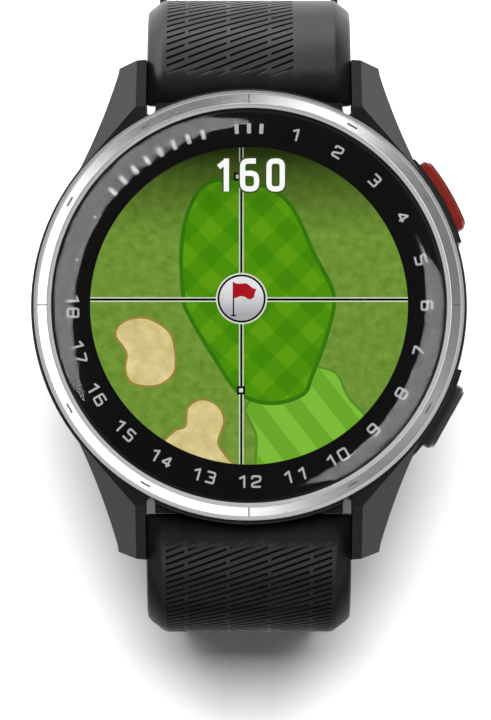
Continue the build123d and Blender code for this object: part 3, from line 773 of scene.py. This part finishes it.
def write_number(slab, text, place, size, half_stroke, gap, corner=0.2):
    """Figures drawn with strokes. place turns a point of the centred number into a point of the dial."""
    width, height = size
    advance = width + gap
    for i, digit in enumerate(text):
        shift = (i - (len(text) - 1) / 2) * advance
        for points, closed in DIGITS[digit]:
            spots = [((px - 0.5) * width + shift, (py - 0.5) * height) for px, py in points]
            line = rounded(spots, corner * width, closed)
            slab.stroke([place(x, y) for x, y in line], half_stroke, closed)


def ring_place(angle, outward_top):
    """Placing at a clock angle in degrees, with the top of the figures outwards or inwards."""
    a = radians(angle)
    up = (sin(a), cos(a)) if outward_top else (-sin(a), -cos(a))
    right = (up[1], -up[0])
    r = NUMERAL_R + (0.2 if outward_top else 0.0)

    def place(x, y):
        return (r * sin(a) + right[0] * x + up[0] * y, r * cos(a) + right[1] * x + up[1] * y)
    return place


def ring_figures(ink):
    """The hole numbers 1 to 18, and plain bars where the real ring carries a name."""
    slab = Slab(PRINT_TOP, PRINT_TOP + INK_H)
    for hole in range(1, 19):
        place = ring_place(15 * hole, hole <= 6)
        size = (NUMERAL_W - NUMERAL_STROKE, NUMERAL_H - NUMERAL_STROKE)
        write_number(slab, str(hole), place, size, NUMERAL_STROKE / 2, gap=0.62)
    for angle in RING_DOTS["angles"]:
        place = ring_place(angle, True)
        slab.plate([place(x, y) for x, y in arc(0, 0, RING_DOTS["radius"], 0, 345, 23)])
    half_w, half_h = RING_BARS["half"]
    for angle in RING_BARS["angles"]:
        place = ring_place(angle, True)
        slab.stroke([place(0, -half_h), place(0, half_h)], half_w)
    return slab.piece("ring_figures", ink)


GREEN = [
    (-6.6, 1.0), (-6.8, 5.4), (-6.2, 9.2), (-4.5, 12.1), (-1.4, 12.8), (1.6, 12.0), (4.2, 10.1),
    (6.6, 5.1), (8.5, 1.1), (7.9, -2.7), (6.3, -7.1), (5.4, -8.9), (2.3, -9.8), (-0.9, -8.8),
    (-3.5, -5.2), (-6.1, -0.8),
]
FAIRWAY = [
    (6.3, -5.9), (8.9, -6.7), (9.9, -9.2), (12.0, -11.3), (6.0, -15.4), (0.6, -16.4), (0.8, -13.0),
    (-0.6, -10.2), (1.5, -8.5),
]
BUNKER_LEFT = [
    (-13.4, -2.9), (-12.6, -1.6), (-10.6, -1.2), (-8.9, -1.9), (-7.7, -3.2), (-7.4, -6.3), (-8.5, -7.7),
    (-10.1, -8.1), (-11.8, -7.7), (-12.4, -6.4), (-12.3, -4.7),
]
BUNKER_LOW = [
    (-6.1, -10.2), (-4.6, -9.4), (-3.1, -10.1), (-2.5, -11.6), (-3.1, -13.7), (-2.3, -15.1),
    (-1.4, -16.6), (-8.2, -14.4), (-7.5, -12.6), (-6.4, -12.1),
]
FLAG = [
    (0, 0), (0.36, -0.14), (0.7, -0.14), (1.3, -0.1), (1.65, -0.35), (1.93, -0.6), (2.3, -0.68),
    (2.15, -1.07), (2.07, -1.5), (1.7, -1.74), (1.45, -1.68), (1.1, -1.45), (0.7, -1.4), (0.36, -1.54),
    (0, -1.64),
]
PIN = (-0.74, 0.72)
TARGETS = [(-1.1, 13.0), (-0.8, -8.5)]


def layer(level):
    """A slab of the picture, this many layers above the panel."""
    z = SCREEN_TOP + LAYER_H * level
    return Slab(z + 0.001, z + LAYER_H)


def drawn(name, level, material, plates=(), lines=(), half=0.0, closed=False):
    """A piece of the picture on its own layer, from filled outlines or from lines of one width."""
    slab = layer(level)
    for outline in plates:
        slab.plate(outline)
    for line in lines:
        slab.stroke(line, half, closed)
    return slab.piece("screen_" + name, material)


def patch(name, outline, level, fill, edge, edge_half):
    """A filled area of the map and its drawn edge."""
    area = drawn(name, level, fill, [outline])
    return [area, drawn(name + "_edge", level + 1, edge, lines=[outline], half=edge_half, closed=True)]


def screen_map():
    """The picture on the screen: rough, fairway, green and bunkers."""
    # Painted shade dims the map's patches towards the top of the window.
    rough = glowing("rough_grass", {0.3: (96, 131, 43), 0.5: (109, 145, 52), 0.72: (124, 158, 62)}, 1.1,
                    painted_shade=(7.0, 15.4, 0.1))
    green = glowing("green_grass", {0.1: (66, 134, 8), 0.5: (76, 144, 11), 0.9: (92, 154, 16)}, 1,
                    pattern=mown(3.6, 45, 2, 2.0, 0.8))
    green_edge = glowing("green_edge", {0.3: (46, 112, 8), 0.7: (58, 122, 16)}, 0.8)
    fairway = glowing("fairway_grass", {0.2: (106, 168, 42), 0.8: (124, 188, 56)}, 1,
                      pattern=mown(3.4, -38, 1, 2.0, 0.7))
    fairway_edge = glowing("fairway_edge", {0.3: (78, 130, 38), 0.7: (92, 146, 46)}, 0.8)
    sand = glowing("sand", {0.3: (198, 180, 116), 0.5: (213, 196, 135), 0.7: (230, 214, 156)}, 1.6)
    sand_edge = glowing("sand_edge", {0.3: (146, 120, 52), 0.7: (166, 138, 66)}, 0.8)
    pieces = [drawn("rough", 0, rough, [arc(0, 0, WINDOW_R + 0.6, 0, 357, 119)])]
    pieces += patch("fairway", rounded(FAIRWAY, 0.8, closed=True), 1, fairway, fairway_edge, 0.13)
    pieces += patch("green", curved(GREEN), 3, green, green_edge, 0.2)
    pieces += patch("bunker_left", curved(BUNKER_LEFT), 1, sand, sand_edge, 0.1)
    pieces += patch("bunker_low", curved(BUNKER_LOW), 1, sand, sand_edge, 0.1)
    return pieces


def screen_marks():
    """The cross-hairs, the flag in its disc and the distance figures."""
    # Painted shade dims the pale cross edges towards the top, and the flag disc towards its bottom.
    pale = glowing("mark_pale", {0.3: (204, 212, 192), 0.7: (222, 228, 210)}, 0.6)
    black = glowing("mark_black", {0.3: (6, 8, 6), 0.7: (14, 16, 12)}, 0.6, painted_shade=None)
    white = glowing("mark_white", {0.3: (244, 246, 240), 0.7: (255, 255, 252)}, 0.6, painted_shade=None)
    disc = glowing("flag_disc", {0.3: (220, 220, 226), 0.7: (232, 232, 236)}, 2.0, painted_shade=(1.6, -0.9, 0.5))
    red = glowing("flag_red", {0.3: (158, 16, 28), 0.7: (178, 24, 36)}, 0.9, painted_shade=None)
    halo = glowing("figure_halo", {0.3: (52, 70, 28), 0.7: (64, 84, 36)}, 0.8, painted_shade=None)
    edge = WINDOW_R + 0.3
    cross_x, cross_y = PIN[0] - 0.03, PIN[1] - 0.1
    cross = [[(cross_x, -edge), (cross_x, edge)], [(-edge, cross_y), (edge, cross_y)]]
    pieces = [
        drawn("cross_pale", 6, pale, lines=cross, half=0.23),
        drawn("cross_black", 7, black, lines=cross, half=0.115),
    ]
    for name, level, half, material in (("markers", 8, 0.42, black), ("marker_centres", 9, 0.2, pale)):
        squares = [[(x + half * i, y + half * j) for i, j in SQUARE] for x, y in TARGETS]
        pieces.append(drawn(name, level, material, squares))
    for name, level, radius, material in (
        ("pin_rim", 8, 2.58, pale), ("pin_ring", 9, 2.42, black), ("pin_disc", 10, 2.22, disc),
    ):
        pieces.append(drawn(name, level, material, [arc(*PIN, radius, 0, 355, 71)]))
    return pieces + flag(red, black) + distance(white, halo)


def flag(red, black):
    """A waving flag on a thin pole."""
    pole_x, top, foot = -1.56, 2.36, -0.98
    pole = layer(11)
    pole.stroke([(pole_x, foot), (pole_x, top)], 0.07)
    pole.stroke([(pole_x - 0.24, foot), (pole_x + 0.24, foot)], 0.08)
    cloth = [(pole_x + x, top + y) for x, y in FLAG]
    return [pole.piece("screen_flag_pole", black), drawn("flag_cloth", 12, red, [cloth])]


def distance(white, halo):
    """The yardage figures at the top of the screen, with a dark halo behind them."""
    middle_y, height, stroke = 13.16, 3.34, 0.53
    places = {"1": (-2.66, 1.83), "6": (0.06, 1.93), "0": (2.68, 1.86)}
    pieces = []
    halo_half = stroke / 2 + 0.16
    for name, level, half, material in (("halo", 12, halo_half, halo), ("figures", 13, stroke / 2, white)):
        slab = layer(level)
        for digit, (x, width) in places.items():
            def place(px, py):
                return x + px, middle_y + py
            write_number(slab, digit, place, (width - stroke, height - stroke), half, 0, corner=0.42)
        pieces.append(slab.piece("screen_distance_" + name, material))
    return pieces


# ---- straps ----


def eased(value, start, end):
    t = min(1.0, max(0.0, (value - start) / (end - start)))
    return t * t * (3 - 2 * t)


def step(point, direction, reach):
    """The point this far from another, in the plane of Y and Z."""
    return point[0] + direction[0] * reach, point[1] + direction[1] * reach


class StrapPath:
    """The strap's outer face in the plane of Y and Z, by the distance along it from above the bar."""

    def __init__(self, drop_z, bend_r, run):
        self.along = (cos(LEAVE_ANGLE), -sin(LEAVE_ANGLE))
        self.outward = (sin(LEAVE_ANGLE), cos(LEAVE_ANGLE))
        self.bend_r = bend_r
        self.start = step((BAR_Y, BAR_Z), self.outward, HEAD_R)
        shoulder = step(self.start, self.along, LEAVE_RUN)
        self.shoulder_centre = step(shoulder, self.outward, -SHOULDER_R)
        self.drop_at = LEAVE_RUN + SHOULDER_R * (pi / 2 - LEAVE_ANGLE)
        self.drop_y = self.shoulder_centre[0] + SHOULDER_R
        self.drop_z = drop_z
        self.bend_at = self.drop_at + self.shoulder_centre[1] - drop_z
        self.bend_centre = (self.drop_y - bend_r, drop_z)
        self.flat_at = self.bend_at + bend_r * pi / 2
        self.end = self.flat_at + run

    def point(self, s):
        """(y, z) on the outer face and its outward normal."""
        if s <= 0:
            t = min(pi / 2, -s / HEAD_R)
            over = step((BAR_Y, BAR_Z), self.outward, HEAD_R * cos(t))
            return step(over, self.along, -HEAD_BACK * sin(t)), self.outward
        if s <= LEAVE_RUN:
            return step(self.start, self.along, s), self.outward
        if s <= self.drop_at:
            a = pi / 2 - LEAVE_ANGLE - (s - LEAVE_RUN) / SHOULDER_R
            normal = (cos(a), sin(a))
            return step(self.shoulder_centre, normal, SHOULDER_R), normal
        if s <= self.bend_at:
            return (self.drop_y, self.shoulder_centre[1] - (s - self.drop_at)), (1.0, 0.0)
        if s <= self.flat_at:
            a = -(s - self.bend_at) / self.bend_r
            normal = (cos(a), sin(a))
            return step(self.bend_centre, normal, self.bend_r), normal
        y, z = self.bend_centre
        return (y - (s - self.flat_at), z - self.bend_r), (0.0, -1.0)

    def thickness(self, s):
        if s <= 0:
            return 2 * HEAD_R * cos(min(pi / 2, -s / HEAD_R))
        if s < HEAD_R:
            return max(STRAP_T, HEAD_R + sqrt(HEAD_R ** 2 - s ** 2))
        return STRAP_T

    def half_width(self, s):
        z = self.point(s)[0][1] if s < self.bend_at else self.drop_z
        share = min(1.0, max(0.0, (TAPER_Z[0] - z) / (TAPER_Z[0] - TAPER_Z[1])))
        return STRAP_HALF_W + (STRAP_END_HALF_W - STRAP_HALF_W) * share


class Strap:
    """One half of the strap as a closed, grooved band. side is 1 at 12 o'clock and -1 at 6 o'clock."""

    def __init__(self, path, side, gaps, groove_x, pitch, slope):
        self.path = path
        self.side = side
        self.pitch = pitch
        self.slope = slope
        self.groove_x = groove_x
        self.gaps = gaps
        self.first = -HEAD_R * END_TURN
        edge = STRAP_HALF_W - CHAMFER[0]
        low, high = groove_x
        stops = {-edge, edge, low, low + GROOVE_END_SLOPE, high, high - GROOVE_END_SLOPE}
        for gap in gaps:
            for reach in (GAP_HALF, GAP_HALF + GAP_SLOPE):
                stops |= {gap - reach, gap + reach}
        self.columns = []
        for x in sorted(stops):
            while self.columns and x - self.columns[-1] > COLUMN_STEP + 0.1:
                self.columns.append(self.columns[-1] + COLUMN_STEP)
            self.columns.append(x)

    def last(self, x):
        """Where the band ends at this distance from its middle line."""
        return self.path.end

    def bulge(self, s):
        """How far both faces stand proud of the plain band."""
        return 0.0

    def cut_in(self, x, s):
        """How far both faces are drawn in, to round the free edge."""
        return 0.0

    def mask(self, x, line):
        """1 where a groove line is at full depth across the strap, 0 at its ends and gaps."""
        low, high = self.groove_x
        if x <= low + 0.01 or x >= high - 0.01:
            return 0.0
        if line % 2:
            for gap in self.gaps:
                if abs(x - gap) <= GAP_HALF + 0.01:
                    return 0.0
        return 1.0

    def rows(self):
        """(distance along, groove line number, share of the groove's depth) for each row of points.

        The lines start before the band and run past it, so that slanted ones reach both its corners.
        """
        slope_reach = self.slope * STRAP_HALF_W + 1
        line = int((self.first - slope_reach) / self.pitch) - 1
        out = []
        while line * self.pitch < self.path.end + slope_reach + 4:
            v = line * self.pitch
            for offset, share in (
                (-GROOVE_HALF_TOP, 0), (-GROOVE_HALF_BOTTOM, 1), (GROOVE_HALF_BOTTOM, 1),
                (GROOVE_HALF_TOP, 0), (self.pitch / 2, 0),
            ):
                out.append((v + offset, line, share))
            line += 1
        return out

    def section(self, s_of, line, share):
        """One closed loop of points round the band: outer face, side, inner face, side."""
        edge = STRAP_HALF_W - CHAMFER[0]
        loop = []
        for x in self.columns:
            s = s_of(x)
            last = self.last(x)
            depth = GROOVE_DEPTH * share * self.mask(x, line) * eased(s, *GROOVE_START)
            depth *= 1 - eased(s, last - GROOVE_STOP[0], last - GROOVE_STOP[1])
            w = self.path.half_width(s)
            loop.append(self.place(x * (w - CHAMFER[0]) / edge, s, depth))
        for sign in (1, -1):
            side = []
            s = s_of(sign * STRAP_HALF_W)
            w = self.path.half_width(s)
            thick = self.path.thickness(s)
            scale = min(1.0, thick / STRAP_T)
            for inset, depth in CHAMFER_STEPS:
                side.append(self.place(sign * (w - inset), s, depth * scale))
            for inset, height in INNER_EDGE_STEPS:
                side.append(self.place(sign * (w - inset), s, thick - height * scale))
            loop += side if sign == 1 else side[::-1]
            if sign == 1:
                for x in reversed(self.columns):
                    s = s_of(x)
                    w = self.path.half_width(s)
                    loop.append(self.place(x * (w - INNER_EDGE) / edge, s, self.path.thickness(s)))
        return loop

    def place(self, x, s, depth):
        """A point this deep below the outer face."""
        s = min(max(s, self.first), self.last(x))
        (y, z), (ny, nz) = self.path.point(s)
        half = self.path.thickness(s) / 2
        reach = (half - depth) / half if half > 1e-6 else 0.0
        middle = (y - ny * half, z - nz * half)
        away = reach * (half + self.bulge(s) - self.cut_in(x, s))
        return (x, self.side * (middle[0] + ny * away), middle[1] + nz * away)

    def build(self, name, material):
        verts = []
        rows = self.rows()
        for v, line, share in rows:
            def s_of(x):
                s = v + self.side * self.slope * x
                return min(max(s, self.first), self.last(x))
            verts += self.section(s_of, line, share)
        n = len(verts) // len(rows)
        faces = band_faces(len(rows), n) + self.end_wall(0, n) + self.end_wall((len(rows) - 1) * n, n)
        return add_object(name, verts, faces, weld=0.004, material=material)

    def end_wall(self, start, n):
        """The faces that close one end of the band."""
        c = len(self.columns)
        m = (n - 2 * c) // 2
        inner = [start + c + m + (c - 1 - i) for i in range(c)]
        outer = [start + i for i in range(c)]
        walls = [[outer[i], outer[i + 1], inner[i + 1], inner[i]] for i in range(c - 1)]
        right = [start + c + i for i in range(m)]
        left = [start + 2 * c + m + i for i in range(m)]
        walls.append([outer[-1]] + right + [inner[-1]])
        walls.append([inner[0]] + left + [outer[0]])
        return walls


class BuckleStrap(Strap):
    """The half at 12 o'clock, which ends in an eye round the buckle pin."""

    def last(self, x):
        return self.path.end + EYE_R * END_TURN

    def bulge(self, s):
        back = abs(self.path.end - s)
        return max(0.0, sqrt(max(0.0, EYE_R ** 2 - back ** 2)) - STRAP_T / 2) if s <= self.path.end else 0.0

    def place(self, x, s, depth):
        if s <= self.path.end:
            return super().place(x, s, depth)
        t = min(pi / 2, (s - self.path.end) / EYE_R)
        (y, z), (ny, nz) = self.path.point(self.path.end)
        y, z = y - ny * STRAP_T / 2, z - nz * STRAP_T / 2
        away = EYE_R * cos(t) * (1 - 2 * depth / STRAP_T)
        return (x, self.side * (y + ny * away + nz * EYE_R * sin(t)), z + nz * away - ny * EYE_R * sin(t))


class TailStrap(Strap):
    """The half at 6 o'clock, which ends in a rounded tip."""

    def last(self, x):
        chord, depth = STRAP_END_HALF_W, TAIL_TIP_DEPTH
        r = (chord ** 2 + depth ** 2) / (2 * depth)
        x = min(abs(x), chord)
        return self.path.end - (r - sqrt(r * r - x * x))

    def cut_in(self, x, s):
        r = TAIL_EDGE_R
        e = min(r, max(0.0, self.last(x) - s))
        return r - sqrt(r * r - (r - e) ** 2)


def head_cutters(side):
    """The bar's bore through the strap head and the knob's slot in its inner face."""
    outward = Vector((0, side * sin(LEAVE_ANGLE), cos(LEAVE_ANGLE)))
    centre = Vector((0, side * BAR_Y, BAR_Z))
    bore = rod("bore", BORE_R, centre, (1, 0, 0), 2 * STRAP_HALF_W + 2)
    slot = brick("slot", *KNOB_SLOT)
    turn = Matrix.Rotation(-side * LEAVE_ANGLE, 4, "X")
    slot.data.transform(Matrix.Translation(centre * MM) @ turn)
    return [bore, slot]


def hole_cutters(path):
    """A slot-shaped punch for each hole of the tail, wider at both faces for a soft edge."""
    cutters = []
    for i in range(HOLE_COUNT):
        s = path.end - FIRST_HOLE - i * HOLE_PITCH
        if s < path.flat_at:
            s = path.flat_at - (path.flat_at - s) * path.bend_r / (path.bend_r - STRAP_T / 2)
        (y, z), (ny, nz) = path.point(s)
        centre = Vector((0, -(y - ny * STRAP_T / 2), z - nz * STRAP_T / 2))
        out = Vector((0, -ny, nz))
        along = out.cross(Vector((1, 0, 0)))
        verts = []
        r, straight = HOLE_SIZE[1] / 2, (HOLE_SIZE[0] - HOLE_SIZE[1]) / 2
        rim_at, clear = STRAP_T / 2 - HOLE_RIM, STRAP_T / 2 + 1
        levels = ((-clear, HOLE_RIM + 0.8), (-rim_at, 0), (rim_at, 0), (clear, HOLE_RIM + 0.8))
        for height, grow in levels:
            outline = arc(straight, 0, r + grow, -90, 90, 12) + arc(-straight, 0, r + grow, 90, 270, 12)
            verts += [centre + Vector((x, 0, 0)) + along * a + out * height for x, a in outline]
        n = len(verts) // len(levels)
        faces = [list(reversed(range(n))), list(range(3 * n, 4 * n))]
        cutters.append(add_object("punch", verts, band_faces(len(levels), n) + faces))
    return cutters


def straps(silicone, shaded_silicone):
    """Both grooved halves, with their bores, the tongue's slot and the tail's holes."""
    buckle = BuckleStrap(StrapPath(**BUCKLE_SIDE), 1, GROOVE_GAPS[:3], **UPPER_GROOVES)
    upper = buckle.build("strap_upper_grooved", silicone)
    y, z = BUCKLE_PIN
    slot_half = TONGUE_SLOT_HALF
    pin_bore = rod("pin_bore", BORE_R, (0, y, z), (1, 0, 0), 24)
    tongue_slot = brick("tongue_slot", (-slot_half, slot_half), (y - 5, y + 5), (z - 6, z + 6))
    cut(upper, head_cutters(1) + [pin_bore, tongue_slot])
    tail_path = StrapPath(**TAIL_SIDE)
    tail = TailStrap(tail_path, -1, GROOVE_GAPS, **LOWER_GROOVES)
    lower = tail.build("strap_lower_grooved", shaded_silicone)
    cut(lower, head_cutters(-1) + hole_cutters(tail_path))
    for piece in (upper, lower):
        smooth(piece, 32)
    return upper, lower


# ---- keepers round the strap ----


def keeper(name, inner_gap, origin, outward, material):
    """A loop with rounded edges round the strap, its middle at origin, its room on the outward side."""
    low = -STRAP_T / 2 - inner_gap
    half = KEEPER_WALL / 2
    x, y0, y1 = KEEPER_SIDE + half, low - half, KEEPER_HIGH + half
    path = rounded([(-x, y0), (x, y0), (x, y1), (-x, y1)], KEEPER_CORNER, closed=True, steps=8)
    dense = []
    for i, point in enumerate(path):
        a, b = Vector(point), Vector(path[(i + 1) % len(path)])
        parts = max(1, int((b - a).length / 1.5))
        dense += [tuple(a.lerp(b, k / parts)) for k in range(parts)]
    section = []
    dx, dz = half - KEEPER_EDGE_R, KEEPER_HALF_W - KEEPER_EDGE_R
    for cx, cz, start in ((dx, dz, 0), (-dx, dz, 90), (-dx, -dz, 180), (dx, -dz, 270)):
        section += arc(cx, cz, KEEPER_EDGE_R, start, start + 90, 5)
    sides = {}
    for off, _ in section:
        if off not in sides:
            sides[off] = offset_line(dense, off, True)[0] if off else dense
    normal = Vector((0, *outward))
    run = Vector((1, 0, 0)).cross(normal)
    verts = []
    for i in range(len(dense)):
        for off, along in section:
            px, py = sides[off][i]
            verts.append(Vector(origin) + Vector((px, 0, 0)) + normal * py + run * along)
    faces = band_faces(len(dense), len(section), closed=True)
    piece = add_object(name, verts, faces, weld=0.002, material=material)
    smooth(piece, 40)
    return piece


def keepers(silicone):
    """The free keeper on the straight part of the buckle half, and the fixed one part way round its bend."""
    path = StrapPath(**BUCKLE_SIDE)
    middle_y = path.drop_y - STRAP_T / 2
    free = keeper("keeper_free_moulded", 0.3, (0, middle_y, FREE_KEEPER_Z), (1, 0), silicone)
    turn = FIXED_KEEPER_TURN
    reach = path.bend_r - STRAP_T / 2
    centre = (0, middle_y - reach + reach * cos(turn), path.drop_z - reach * sin(turn))
    fixed = keeper("keeper_fixed_moulded", 0.45, centre, (cos(turn), -sin(turn)), silicone)
    return free, fixed


# ---- CAD nodes ----


def dress_cad(finishes):
    """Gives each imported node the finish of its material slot."""
    for node in frame["nodes"].values():
        for slot in node.material_slots:
            slot.material = finishes[slot.material.name]


# ---- stage ----


def floor(size=1600):
    """A plain pale floor under the lowest point of the watch."""
    finish = Finish("floor_paint", roughness=0.9)
    finish.colours(finish.noise(60), grey(0.88), grey(0.9))
    finish.set(Specular_IOR_Level=0.1)
    corners = [(x * size / 2, y * size / 2, FLOOR_Z) for x, y in SQUARE]
    return add_object("floor", corners, [[0, 1, 2, 3]], material=finish.material)


def soft_light(name, place, target, size, radiance, diffuse=True, glossy=True, only=()):
    """A rectangular soft light; radiance is how bright its face looks. only names the pieces it lights."""
    data = bpy.data.lights.new(name, "AREA")
    data.shape = "RECTANGLE"
    data.size, data.size_y = size[0] * MM, size[1] * MM
    data.energy = radiance * pi * data.size * data.size_y
    lamp = place_object(name, data)
    lamp.location = Vector(place) * MM
    look = (Vector(target) - Vector(place)).normalized()
    lamp.rotation_euler = look.to_track_quat("-Z", "Y").to_euler()
    lamp.visible_camera = False
    lamp.visible_diffuse = diffuse
    lamp.visible_glossy = glossy
    if only:
        lit = bpy.data.collections.new(name + "_lit")
        for piece in only:
            lit.objects.link(piece)
        lamp.light_linking.receiver_collection = lit


def world(horizon, middle, overhead):
    """A studio, pale below the horizon, dim at it and overhead, and white where the camera sees it."""
    studio = bpy.data.worlds.new("studio")
    build = Nodes(studio)
    up = build.split(build.node("ShaderNodeTexCoord").outputs["Generated"])[2]
    height = build.spread(up, 0, 1, start=-1, end=1)
    stops = ((0.0, 0.85), (0.49, 0.85), (0.52, horizon), (0.66, horizon), (0.73, middle), (0.89, middle),
             (0.96, overhead))
    back = build.tree.nodes["Background"]
    build.link(build.ramp(height, [(place, grey(level)) for place, level in stops]), back.inputs["Color"])
    path = build.node("ShaderNodeLightPath").outputs
    fill = build.spread(path["Is Diffuse Ray"], 1.0, 0.3, start=0, end=1)
    build.link(fill, back.inputs["Strength"])
    white = build.node("ShaderNodeBackground")
    seen = build.mix(path["Is Camera Ray"], back, white)
    build.link(seen, build.tree.nodes["World Output"].inputs["Surface"])
    bpy.context.scene.world = studio


def camera():
    """Looking down the dial from a little towards 6 o'clock."""
    data = bpy.data.cameras.new("camera")
    data.sensor_width = 36
    data.lens = 36 * CAMERA_DISTANCE / FRAME_HEIGHT
    data.clip_start, data.clip_end = 0.01, 10
    made = place_object("camera", data)
    target = Vector((*AIM, BEZEL_TOP))
    back = Vector((0, -sin(CAMERA_TILT), cos(CAMERA_TILT)))
    made.location = (target + back * CAMERA_DISTANCE) * MM
    made.rotation_euler = (CAMERA_TILT, 0, 0)
    bpy.context.scene.camera = made


def sky_place(azimuth, lean, distance=600):
    """A point this far from the dial, this many degrees off the vertical, at an angle from 3 o'clock."""
    a, t = radians(azimuth), radians(lean)
    return (distance * sin(t) * cos(a), distance * sin(t) * sin(a), distance * cos(t))


def lights(lens, ring, straps):
    """A key that only lights the floor and matt parts, and soft panels that each show in one finish."""
    dial = (0, 0, BEZEL_TOP)
    soft_light("key", sky_place(90, 8.5, 650), (0, 0, -40), (200, 200), 80.0, glossy=False)
    for name, place, size, radiance in (
        ("left_panel", (-100, -2), (134, 240), 2.2),
        ("front_panel", (-5, -110), (60, 130), 1.5),
        ("corner_panel", (44, 140), (60, 60), 3.0),
        ("right_panel", (104, -12), (40, 76), 1.0),
    ):
        soft_light(name, (*place, 480), (*place, 0), size, radiance, diffuse=False, only=[ring])
    for name, azimuth, width in (("left_strip", 146, 540), ("right_strip", -20, 400)):
        soft_light(name, sky_place(azimuth, 36), dial, (width, 460), 32.0, diffuse=False, only=[lens])
    for name, azimuth, lean, height, radiance in (
        ("upper_strap_low", 110, 92, 330, 6.0), ("upper_strap_high", 110, 63, 230, 2.2),
        ("lower_strap_strip", 270, 52, 150, 2.2),
    ):
        place = sky_place(azimuth, lean)
        soft_light(name, place, (0, 0, 0), (1000, height), radiance, diffuse=False, only=straps)


# ---- build ----

camera()
finishes = cad_finishes()
dress_cad(finishes)

ring = bezel()
ring.data.materials.append(finishes["bezel_aluminium"])
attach(ring, "watch_case")
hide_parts("bezel")

# Painted shade: dark plates darken the floors of the sunk bezel marks.
marks = mark_paint(grained("mark_paint", 0.055, 0.085, 0.1, (0.4, 0.5), 0.001))
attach(marks, "watch_case")

lens = glass()
lens.data.materials.append(finishes["cover_glass"])
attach(lens, "watch_case")
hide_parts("lens")

# Painted light: the printed ring figures glow instead of taking their brightness from the lamps.
figure_glow = glowing("ring_figure_painted_glow", {0.3: (168, 170, 172), 0.7: (182, 184, 186)}, 0.8, painted_shade=None)
figures = ring_figures(figure_glow)
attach(figures, "watch_case")

for piece in screen_map() + screen_marks():
    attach(piece, "watch_case")

# The lower half gets a shaded copy of the same silicone: almost no gloss where it turns away, so it stays
# dark as if in shadow.
upper, lower = straps(finishes["strap_silicone"], strap_silicone("strap_silicone_shaded_copy", 0.02))
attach(upper, "buckle_strap")
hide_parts("strap_buckle_side")
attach(lower, "tail_strap")
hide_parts("strap_tail_side")

free, fixed = keepers(finishes["keeper_silicone"])
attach(free, "free_keeper")
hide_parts("keeper_free")
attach(fixed, "buckle_strap")
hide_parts("keeper_fixed")

floor()
world(0.2, 0.65, 0.24)
lights(lens, ring, [upper, lower])
bpy.context.scene.view_settings.view_transform = "Standard"
